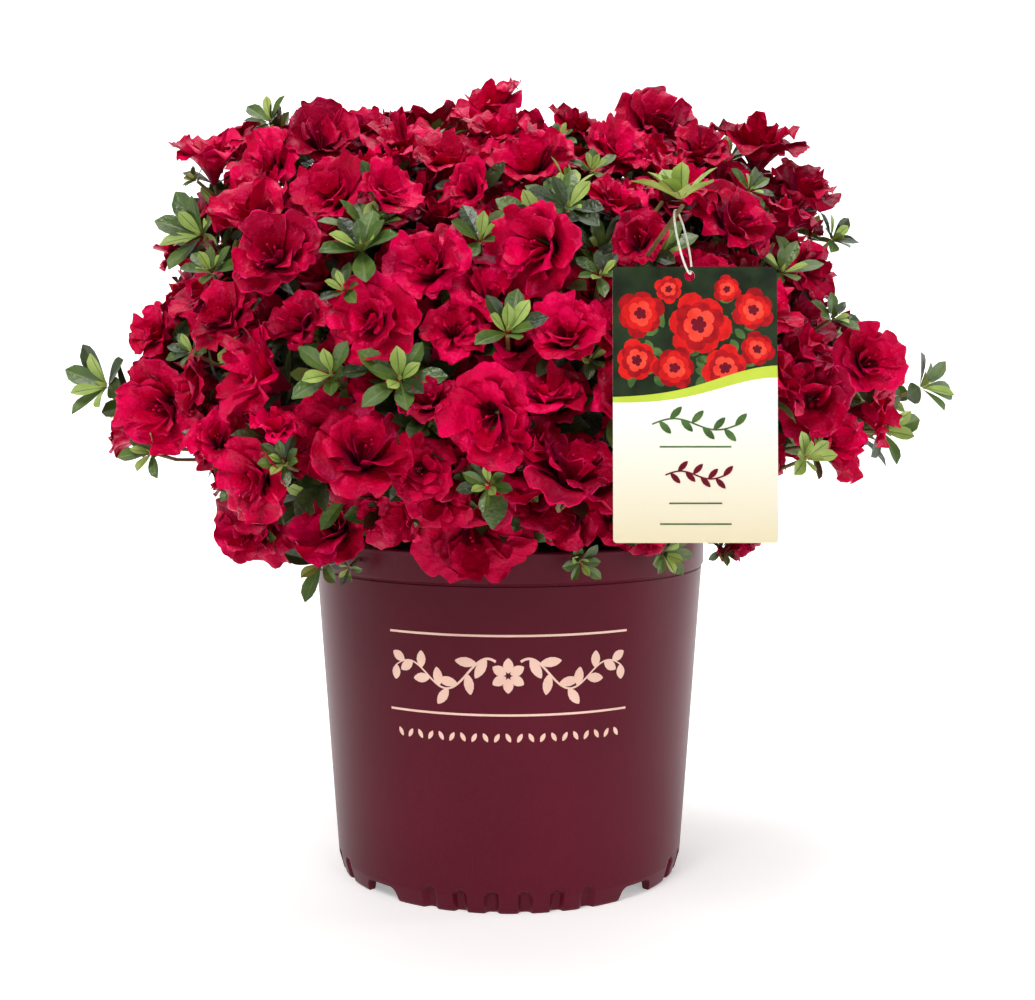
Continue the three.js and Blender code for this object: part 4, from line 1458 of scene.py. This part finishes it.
def add_petal(bm, chooser, turn, length, half_width, rise, ruffle, lines):
    """One petal of so many lines of faces each way. It starts in the funnel and opens along y."""
    columns = rows = lines
    grid = bmesh.ops.create_grid(bm, x_segments=columns, y_segments=rows, size=0.5)["verts"]
    body = SHADE if chooser.random() < shaded_petals else BODY
    for face in {face for vert in grid for face in vert.link_faces}:
        middle = face.calc_center_median()
        across, along = abs(2 * middle.x), middle.y + 0.5
        # Faces along the rim take the slot of the painted highlight.
        at_highlight_rim = along > 1 - 1 / rows or (across > 1 - 2 / columns and along > 0.4)
        face.material_index = THROAT if along < throat_end else RIM_HIGHLIGHT_AND_STAMEN if at_highlight_rim else body
    phase, twist = chooser.uniform(0, 50), chooser.uniform(-0.18, 0.18)
    tilt, curl, fold = chooser.uniform(-0.12, 0.12), chooser.uniform(0.02, 0.26), chooser.uniform(-0.15, 0.4)
    for vert in grid:
        across, along = toward_rim(2 * vert.co.x, columns / 2), toward_rim(vert.co.y + 0.5, rows)
        side = across * half_width * np.interp(along, petal_stations, petal_widths) + twist * along * along
        drop = corner_drop * abs(across) ** 2.2 * along ** 3
        drop += tip_notch * math.exp(-(across / 0.2) ** 2) * along ** 8
        out = petal_start + (length - petal_start) * (along - drop)
        height = -funnel_depth + funnel_rise * (1 - (1 - along) ** 2.4)
        height += (rise + tilt) * along - curl * along ** 4
        height += half_width * across * across * (0.5 * (1 - along) + fold * along)
        edge = max(across * across * along, along ** 3)
        waves = noise.noise(Vector((side * 4 + phase, out * 4, phase)))
        height += 2 * ruffle * edge * waves + 0.35 * ruffle * along * math.sin(6 * across + phase)
        out += 0.7 * ruffle * along ** 5 * noise.noise(Vector((side * 4, phase, 0)))
        vert.co = (side, out, height)
    bmesh.ops.rotate(bm, verts=grid, cent=(0, 0, 0), matrix=Matrix.Rotation(turn, 3, "Z"))


def add_stamens(bm, chooser, count):
    """Thin stalks with a knob on top, which lean out of the bottom of the funnel."""
    for _ in range(count):
        stalk = bmesh.ops.create_cone(bm, segments=3, radius1=0.012, radius2=0.01,
                                      depth=stamen_length)["verts"]
        knob = bmesh.ops.create_cone(bm, cap_ends=True, segments=4, radius1=0.03, radius2=0.02,
                                     depth=0.06)["verts"]
        bmesh.ops.translate(bm, verts=knob, vec=(0, 0, 0.02 + stamen_length / 2))
        stamen = stalk + knob
        # The stamens share the slot of the painted rim highlight.
        for face in {face for vert in stamen for face in vert.link_faces}:
            face.material_index = RIM_HIGHLIGHT_AND_STAMEN
        bmesh.ops.translate(bm, verts=stamen, vec=(0, 0, stamen_length / 2))
        lean = Matrix.Rotation(chooser.uniform(0.05, 0.4), 3, "X")
        turn = Matrix.Rotation(chooser.uniform(0, 6.3), 3, "Z")
        bmesh.ops.rotate(bm, verts=stamen, cent=(0, 0, 0), matrix=turn @ lean)
        bmesh.ops.translate(bm, verts=stamen, vec=(0, 0, -stamen_foot))


# %% Put the blossoms together
blossom_models = 10
fine_lines = 10
plain_lines = 6
outer_ruffle = 0.1
inner_ruffle = 0.14


def blossom_shape(number, lines):
    """A double blossom of radius 1: five outer petals of so many lines, five inner ones, six small ones."""
    chooser = random.Random(300 + number)
    bm = bmesh.new()
    openness = chooser.uniform(0.8, 1.06)
    for lobe in range(5):
        turn = math.radians(72 * lobe) + chooser.uniform(-0.1, 0.1)
        size = openness * chooser.uniform(0.88, 1.1)
        add_petal(bm, chooser, turn, size, 0.54 * size, 1.1 - openness, outer_ruffle, lines)
    for lobe in range(5):
        turn = math.radians(72 * lobe + 36) + chooser.uniform(-0.25, 0.25)
        size = chooser.uniform(0.54, 0.82)
        add_petal(bm, chooser, turn, size, 0.38, chooser.uniform(0.08, 0.36), inner_ruffle, lines - 2)
    for _ in range(6):
        size = chooser.uniform(0.24, 0.5)
        turn = chooser.uniform(0, 6.3)
        add_petal(bm, chooser, turn, size, 0.24, chooser.uniform(0.2, 0.6), inner_ruffle, 4)
    add_stamens(bm, chooser, 3)
    return shape_arrays(mesh_from(bm, f"blossom_{number}"))


def flower_bud_shape():
    """A ball pulled out to a point, with five pleats that wind round it."""
    bm = bmesh.new()
    ball = bmesh.ops.create_uvsphere(bm, u_segments=10, v_segments=8, radius=0.5)["verts"]
    for vert in ball:
        along = vert.co.z + 0.5
        pleats = math.cos(5 * math.atan2(vert.co.y, vert.co.x) + 5 * along)
        swell = 0.7 * (1 - along) ** 0.3 * (1 + 0.14 * pleats)
        vert.co = (vert.co.x * swell, vert.co.y * swell, 1.1 * along - 0.5)
    for face in bm.faces:
        face.material_index = BODY
    return shape_arrays(mesh_from(bm, "flower_bud"))


fine_blossoms = [blossom_shape(number, fine_lines) for number in range(blossom_models)]
plain_blossoms = [blossom_shape(number, plain_lines) for number in range(blossom_models)]
flower_bud = flower_bud_shape()
print("faces of a blossom:", len(fine_blossoms[0][2]), "fine,", len(plain_blossoms[0][2]), "plain")

# %% [markdown]
# The blossoms become three pieces, one for each tier of boughs, so that no piece has too many triangles.

# %% Copy the blossoms over the plant
petal_slots = [petal_throat, petal_bright, petal_crimson, petal_deep, rim_highlight_and_stamen]
THROAT_SLOT, BRIGHT_SLOT, CRIMSON_SLOT, DEEP_SLOT, RIM_HIGHLIGHT_AND_STAMEN_SLOT = range(5)
tints = [(BRIGHT_SLOT, CRIMSON_SLOT), (CRIMSON_SLOT, BRIGHT_SLOT), (CRIMSON_SLOT, DEEP_SLOT),
         (DEEP_SLOT, CRIMSON_SLOT)]
PICK_TINT, PICK_MODEL, PICK_BUD, PICK_RIM_HIGHLIGHT = 41, 42, 43, 44
bud_share = 0.06
rim_highlight_share = 0.35


def blossom_copy(head):
    body, shade = tints[int(len(tints) * chance(head.shoot, PICK_TINT))]
    small_shoot = finer_first <= head.shoot < noted_first
    shapes = plain_blossoms if small_shoot else fine_blossoms
    shape, size = shapes[int(len(shapes) * chance(head.shoot, PICK_MODEL))], 1.04 * head.size
    if small_shoot and chance(head.shoot, PICK_BUD) < bud_share:
        shape, size = flower_bud, 0.8 * size
    # A share of the blossoms gets the pale pink painted highlight on its rims and stamens. The rest keep
    # their body colour there.
    rim_highlight_slot = RIM_HIGHLIGHT_AND_STAMEN_SLOT if chance(head.shoot, PICK_RIM_HIGHLIGHT) < rim_highlight_share else body
    slots = {THROAT: THROAT_SLOT, BODY: body, SHADE: shade, RIM_HIGHLIGHT_AND_STAMEN: rim_highlight_slot}
    return shape, placing(*head.frame, head.centre, size), slots


for tier in tier_height:
    members = [head for head in outer_heads
               if head.kind == "blossom" and masses[head.mass_index][1] == tier]
    mass_nodes = ["mass_" + mass[0] for mass in masses if mass[1] == tier]
    blossom_mesh = copies_mesh(f"blossoms_{tier}", [blossom_copy(head) for head in members])
    finish_piece(f"blossoms_{tier}", blossom_mesh, petal_slots, mass_nodes)

# %% [markdown]
# ## Leaves
# An azalea leaf is a blunt oval that is widest past its middle, folded a little along its rib and bent
# back at its tip. It is again a small grid with its points moved. The two middle columns are pushed
# together, and those faces are the pale rib. The leaves inside the dome are simpler and have no rib.

# %% Model the leaves
BLADE, RIB = 0, 1
stalk_width = 0.016
blade_width = 0.2
rib_share = 0.16


def leaf_shape(number, with_rib):
    chooser = random.Random(700 + number)
    bm = bmesh.new()
    columns, rows = (4, 6) if with_rib else (2, 5)
    grid = bmesh.ops.create_grid(bm, x_segments=columns, y_segments=rows, size=0.5)["verts"]
    for face in bm.faces:
        face.material_index = RIB if with_rib and abs(face.calc_center_median().x) < 0.25 else BLADE
    fold, droop, twist = chooser.uniform(0.2, 0.45), chooser.uniform(0.06, 0.26), chooser.uniform(-0.25, 0.25)
    for vert in grid:
        across, along = 2 * vert.co.x, vert.co.y + 0.5
        if with_rib and 0.3 < abs(across) < 0.7:
            across *= rib_share
        width = stalk_width + blade_width * math.sin(math.pi * along ** 1.6) ** 0.65
        side = across * width
        height = fold * abs(side) - droop * along * along + twist * side * along
        vert.co = (side, along * 0.99 + 0.01, height)
    return shape_arrays(mesh_from(bm, f"leaf_{number}"))


def leaf_bud_shape():
    bm = bmesh.new()
    ball = bmesh.ops.create_uvsphere(bm, u_segments=6, v_segments=6, radius=0.5)["verts"]
    for vert in ball:
        along = vert.co.z + 0.5
        vert.co = (vert.co.x * 0.42 * (1.1 - along), vert.co.y * 0.42 * (1.1 - along), along)
    return shape_arrays(mesh_from(bm, "leaf_bud"))


leaves = [leaf_shape(number, True) for number in range(6)]
plain_leaves = [leaf_shape(number, False) for number in range(4)]
whorl_bud = leaf_bud_shape()

# %% [markdown]
# Leaves of a whorl follow each other round the shoot by the golden angle. The oldest lean out furthest,
# and the youngest stand up round the bud.

# %% Copy the leaves into whorls
leaf_slots = [leaf_dark_and_shade, leaf_green, leaf_lime, leaf_rib, leaf_bud]
DARK_AND_SHADE, GREEN, LIME, PALE_RIB, BUD = range(5)
PICK_DARK, PICK_COUNT, PICK_COLLAR, PICK_LIME = 52, 53, 55, 58
youngest_rise = 66
oldest_rise = 20
dark_shoot_share = 0.35
lime_shoot_share = 0.05
young_age = 0.4
inner_whorl_leaves = 7
least_whorl_leaves = 8
collar_leaves = 2
collar_round = 9


def leaf_copy(head, number, count, shapes, tone):
    """Where one leaf of a whorl goes. Its age runs from 1 for the oldest leaf to 0 for the youngest."""
    chooser = random.Random(head.shoot * 50 + number)
    right, top, facing = (Vector(side) for side in head.frame)
    age = 1 - number / max(1, count - 1)
    turn = number * golden_angle + chooser.uniform(-0.25, 0.25)
    rise = math.radians(youngest_rise - (youngest_rise - oldest_rise) * age + chooser.uniform(-12, 12))
    out = right * math.cos(turn) + top * math.sin(turn)
    along = out * math.cos(rise) + facing * math.sin(rise)
    across = along.cross(facing).normalized()
    length = head.size * (0.62 + 0.36 * age) * chooser.uniform(0.88, 1.08)
    matrix = placing(across * 1.05, along, across.cross(along), Vector(head.centre) + out * 1.5, length)
    if not head.inner and age < young_age and chooser.random() < 0.7:
        tone = LIME
    elif tone != LIME and chooser.random() < 0.25:
        tone = DARK_AND_SHADE if tone == GREEN else GREEN
    return chooser.choice(shapes), matrix, {BLADE: tone, RIB: DARK_AND_SHADE if tone == DARK_AND_SHADE else PALE_RIB}


def whorl_copies(head):
    lime_shoot = head is tag_head or chance(head.shoot, PICK_LIME) < lime_shoot_share
    noted = noted_first <= head.shoot < inner_first
    # Leaves inside the dome take the dark green as painted shade. A share of the other shoots is dark at
    # random.
    dark_or_shaded_shoot = head.inner or not noted and chance(head.shoot, PICK_DARK) < dark_shoot_share
    tone = LIME if lime_shoot else DARK_AND_SHADE if dark_or_shaded_shoot else GREEN
    shapes = plain_leaves if head.inner else leaves
    count = inner_whorl_leaves if head.inner else least_whorl_leaves + int(4 * chance(head.shoot, PICK_COUNT))
    copies = [leaf_copy(head, number, count, shapes, tone) for number in range(count)]
    if not head.inner:
        copies.append((whorl_bud, placing(*head.frame, head.centre, 0.3 * head.size), {0: BUD}))
    return copies


def blossom_collar(head):
    """The oldest leaves of a whorl, behind a blossom, as its shoot has."""
    back = head.place(0, 0, -0.5 * head.size)
    collar = Head(head.shoot, "leaves", 0.9 * finer_leaf_size, back, head.frame, head.mass_index)
    tone = DARK_AND_SHADE if chance(head.shoot, PICK_COLLAR) < 0.6 else GREEN
    return [leaf_copy(collar, number, collar_round, leaves, tone) for number in range(collar_leaves)]


def finish_leaves(name, heads, copies_of):
    copies = [copy for head in heads for copy in copies_of(head)]
    finish_piece(name, copies_mesh(name, copies), leaf_slots)


finish_leaves("leaf_whorls", [head for head in outer_heads if head.kind == "leaves"], whorl_copies)
finish_leaves("leaves_behind_blossoms", [head for head in outer_heads if head.kind == "blossom"],
              blossom_collar)
finish_leaves("inner_leaves", inner_heads, whorl_copies)

# %% [markdown]
# ## Tag
# The tag is a stiff plastic card with a hole for its string. A block with rounded corners is cut with a
# round cutter, in its own flat space, and then leant and hung by one matrix. The lower part of the card
# fades from white to sand. A fade follows one axis, so it is a Map Range on the height.

# %% Materials of the tag
card_gloss = 0.3
smooth = (500, 0.00003)
ink = dict(Specular_IOR_Level=0.25)
card_white = make_material("card_white", (247, 246, 240), (244, 242, 234), 20, card_gloss, smooth)
print_green = make_material("print_green", (40, 54, 32), (22, 32, 18), 70, card_gloss, smooth, **ink)
print_leaf = make_material("print_leaf", (84, 116, 60), (54, 84, 42), 120, card_gloss, smooth, **ink)
print_lime = make_material("print_lime", (198, 216, 74), (186, 206, 60), 40, card_gloss, smooth)
print_scarlet = make_material("print_scarlet", (220, 30, 26), (192, 14, 20), 160, card_gloss, smooth, **ink)
print_red = make_material("print_red", (186, 16, 26), (140, 6, 18), 160, card_gloss, smooth, **ink)
print_orange = make_material("print_orange", (236, 78, 58), (222, 50, 40), 160, card_gloss, smooth, **ink)
print_maroon = make_material("print_maroon", (112, 10, 34), (96, 6, 28), 60, card_gloss, smooth, **ink)
pale_string = make_material("pale_string", (240, 238, 228), (224, 220, 206), 300, 0.6, (900, 0.0004))

fade_top = 0.345
fade_bottom = 0.262


def make_fade_material(name, upper, lower):
    """White above and sand below, between two heights in metres."""
    material, shader = new_material(name, Roughness=card_gloss)
    tree = material.node_tree
    place = add_node(tree, "TexCoord")
    split = add_node(tree, "SeparateXYZ")
    ramp = add_node(tree, "MapRange", From_Min=fade_bottom, From_Max=fade_top)
    mix = add_node(tree, "Mix")
    mix.data_type = "RGBA"
    set_sockets(mix, A=linear(*lower), B=linear(*upper))
    connect(tree, (place, "Object", split, "Vector"), (split, "Z", ramp, "Value"),
            (ramp, "Result", mix, "Factor"), (mix, "Result", shader, "Base Color"))
    return material


card_fade = make_fade_material("card_fade", (250, 249, 246), (222, 210, 176))

# %% The card
tag_width = 87.5
tag_length = 147
tag_corner = 2
tag_hole_radius = 2.8
card_crisp = 30
tag_matrix = Matrix((
    (1, 0, 0, tag_top[0]),
    (0, math.sin(tag_lean), -math.cos(tag_lean), tag_top[1]),
    (0, math.cos(tag_lean), math.sin(tag_lean), tag_top[2]),
    (0, 0, 0, 1),
))


def hang(bm):
    """Takes a shape from the card's flat space, x across, y up and z out of its front, to its real place."""
    bmesh.ops.transform(bm, verts=bm.verts, matrix=Matrix.Scale(MM, 4) @ tag_matrix)


def card_shape(thickness, middle):
    """The card's outline with its hole, of a thickness, with its middle at a height above the card's own."""
    bm = bmesh.new()
    block = bmesh.ops.create_cube(bm, size=1)["verts"]
    bmesh.ops.scale(bm, verts=block, vec=(tag_width, tag_length, thickness))
    bmesh.ops.translate(bm, verts=block, vec=(0, -tag_length / 2, 0))
    corners = [edge for edge in bm.edges if abs(edge.verts[0].co.z - edge.verts[1].co.z) > 0.01]
    bmesh.ops.bevel(bm, geom=corners, offset=tag_corner, segments=6, profile=0.5, affect="EDGES", material=-1)
    card = mesh_from(bm, "card")
    bm = bmesh.new()
    bmesh.ops.create_cone(bm, cap_ends=True, segments=32, radius1=tag_hole_radius, radius2=tag_hole_radius,
                          depth=4)
    bmesh.ops.translate(bm, verts=bm.verts, vec=(tag_hole_offset, -tag_hole_margin - tag_hole_radius, 0))
    cut = cut_away(card, mesh_from(bm, "hole"))
    bm = bmesh.new()
    bm.from_mesh(cut)
    bmesh.ops.translate(bm, verts=bm.verts, vec=(0, 0, middle))
    return bm


card = card_shape(tag_thickness, 0)
hang(card)
finish_piece("tag_card_plastic", mesh_from(card, "card", card_crisp), [card_white], ["tag_card"])

# %% [markdown]
# The print is a plain pattern: small flowers and leaves on dark green, with a lime wave under them and a
# fading field below. Each colour lies about a hundredth of a millimetre in front of the last, so that no
# two flat shapes fight for the same place.

# %% Fields of the print
ink_step = 0.015
ground_bottom = -74
wave_left = -71
wave_right = -56
wave_dip = 2.5
wave_steps = 32
GREENERY, SCARLET, RED, ORANGE, MAROON, LIME_INK, FADE = range(7)
print_slots = [print_leaf, print_scarlet, print_red, print_orange, print_maroon, print_lime, card_fade]


def lay_down(bm, verts, slot, layer):
    for face in {face for vert in verts for face in vert.link_faces}:
        face.material_index = slot
    bmesh.ops.translate(bm, verts=verts, vec=(0, 0, tag_thickness / 2 + ink_step * layer))


def field_of_card(upper_part):
    """The part of the card's outline above or below the line where its two fields meet, a hair thick."""
    bm = card_shape(ink_step, (tag_thickness + ink_step) / 2)
    geometry = bm.verts[:] + bm.edges[:] + bm.faces[:]
    bmesh.ops.bisect_plane(bm, geom=geometry, plane_co=(0, ground_bottom, 0), plane_no=(0, 1, 0),
                           clear_inner=upper_part, clear_outer=not upper_part)
    hang(bm)
    return bm


def wave_height(across):
    """The wave runs from the left edge, 0, to the right edge, 1, with a soft step up in the middle."""
    climb = (wave_right - wave_left) * smooth_step(across)
    return wave_left + climb - wave_dip * math.sin(math.pi * across) ** 2


def add_wave(bm, layer):
    field = bmesh.ops.create_grid(bm, x_segments=wave_steps, y_segments=1, size=0.5)["verts"]
    for vert in field:
        height = wave_height(vert.co.x + 0.5) if vert.co.y > 0 else ground_bottom - 2
        vert.co = (vert.co.x * tag_width, height, 0)
    lay_down(bm, field, FADE, layer)
    shares = [step / wave_steps for step in range(wave_steps + 1)]
    line = [(tag_width * (share - 0.5), wave_height(share)) for share in shares]
    lay_down(bm, add_ribbon(bm, line, [3 + 3.5 * share for share in shares]), LIME_INK, layer + 1)


# %% Flowers of the print
print_leaf_count = 44
picture_layers = {"leaves": 2, "flowers": 3, "wave": 12, "sprigs": 14}
# Across, height and radius of each flower.
print_flowers = [
    (-29, -25, 13.5), (2, -31, 18), (31, -23, 12), (-31, -50, 12), (-11, -54, 12), (16, -54, 13),
    (33, -44, 10), (-14, -12, 8), (17, -12, 8),
]


def add_print_flower(bm, middle, radius, turn, colours, layer):
    """Four rings of blunt petals, each given as its petals, their length, their breadth and their ink."""
    rings = ((6, 1.0, 0.86, colours[0]), (6, 0.78, 0.66, colours[1]), (5, 0.52, 0.5, ORANGE),
             (5, 0.26, 0.22, MAROON))
    for ring, (petals, share, breadth, slot) in enumerate(rings):
        for petal in range(petals):
            angle = turn + 2 * math.pi * (petal + 0.5 * (ring % 2)) / petals
            length = share * radius * (1 - 0.12 * (petal % 2))
            shape = add_flat_leaf(bm, middle, angle, length, breadth * radius, 12, blunt=True)
            lay_down(bm, shape, slot, layer + 0.6 * ring + 0.08 * petal)


def tag_picture():
    chooser = random.Random(21)
    bm = bmesh.new()
    reach = tag_width / 2 - 9
    for leaf in range(print_leaf_count):
        place = (chooser.uniform(-reach, reach), chooser.uniform(-60, -16))
        shape = add_flat_leaf(bm, place, chooser.uniform(0, 6.3), chooser.uniform(7, 9), 4.6, 10)
        lay_down(bm, shape, GREENERY, picture_layers["leaves"] + 0.1 * (leaf % 5))
    for number, (across, height, radius) in enumerate(print_flowers):
        colours = (SCARLET, RED) if number % 2 else (RED, SCARLET)
        layer = picture_layers["flowers"] + 3 * (number % 3)
        add_print_flower(bm, (across, height), radius, chooser.uniform(0, 6.3), colours, layer)
    add_wave(bm, picture_layers["wave"])
    return bm


# %% Sprigs and rules of the print
thin_line = 0.8
sprig_steps = 24
sprig_leaf_turn = math.radians(46)


def add_sprig(bm, middle, half, leaf, slot):
    """A wavy stem of a half width round its middle height, with leaves up and down by turns."""
    layer = picture_layers["sprigs"]
    shares = [2 * step / sprig_steps - 1 for step in range(sprig_steps + 1)]
    line = [(half * share, middle - 0.13 * half * math.sin(math.pi * share)) for share in shares]
    lay_down(bm, add_ribbon(bm, line, [thin_line] * len(line)), slot, layer)
    for index in range(2, sprig_steps, 3):
        turn = sprig_leaf_turn * (1 if index % 2 else -1)
        lay_down(bm, add_flat_leaf(bm, line[index], turn, leaf, 0.42 * leaf, 12), slot, layer + 0.4)


def tag_sprigs():
    """Two sprigs and a few fine rules on the fading field."""
    bm = bmesh.new()
    add_sprig(bm, -84, 23, 9, GREENERY)
    add_sprig(bm, -111, 16, 7.5, MAROON)
    for height, half in ((-96, 19), (-126, 14), (-137, 19)):
        rule = [(-half + half * step / 4, height) for step in range(9)]
        lay_down(bm, add_ribbon(bm, rule, [thin_line] * len(rule)), GREENERY, picture_layers["sprigs"])
    return bm


def facing_front(bm):
    for face in bm.faces:
        face.normal_update()
        if face.normal.z < 0:
            face.normal_flip()
    hang(bm)
    return bm


finish_piece("tag_ground", mesh_from(field_of_card(True), "ground", card_crisp), [print_green])
finish_piece("tag_field", mesh_from(field_of_card(False), "field", card_crisp), [card_fade])
finish_piece("tag_picture", mesh_from(facing_front(tag_picture()), "picture"), print_slots)
finish_piece("tag_sprigs", mesh_from(facing_front(tag_sprigs()), "sprigs"), print_slots)

# %% [markdown]
# The string is a closed loop that hangs on the twig of the lime green shoot and passes through the hole in
# the card. It is widest half way up, so its line is a slim ellipse. A loop that joins itself is a cyclic
# curve.

# %% Loop of string
string_radius = 0.6
loop_half_width = 5.6
loop_turn = math.radians(58)
tag_seat_room = 0.85
loop_seat = 9
loop_lift = 2.45


def loop_path():
    neck = tag_head.neck()
    back = unit(twig_start(tag_head.mass_index, neck) - neck)
    seat = neck + back * loop_seat + up * loop_lift
    bottom = tag_hole_top - up * (tag_seat_room + string_radius)
    half_run = (seat - bottom) / 2
    side = np.array((math.cos(loop_turn), math.sin(loop_turn), 0))
    side = unit(side - unit(half_run) * (side @ unit(half_run))) * loop_half_width
    angles = np.linspace(0, 2 * math.pi, 48, endpoint=False)
    points = [bottom + half_run * (1 + math.sin(angle)) + side * math.cos(angle) for angle in angles]
    return [(point, string_radius) for point in points]


loop_mesh = tubes_mesh([loop_path()], 3, closed=True)
finish_piece("tag_string", loop_mesh, [pale_string], ["tag_loop"])
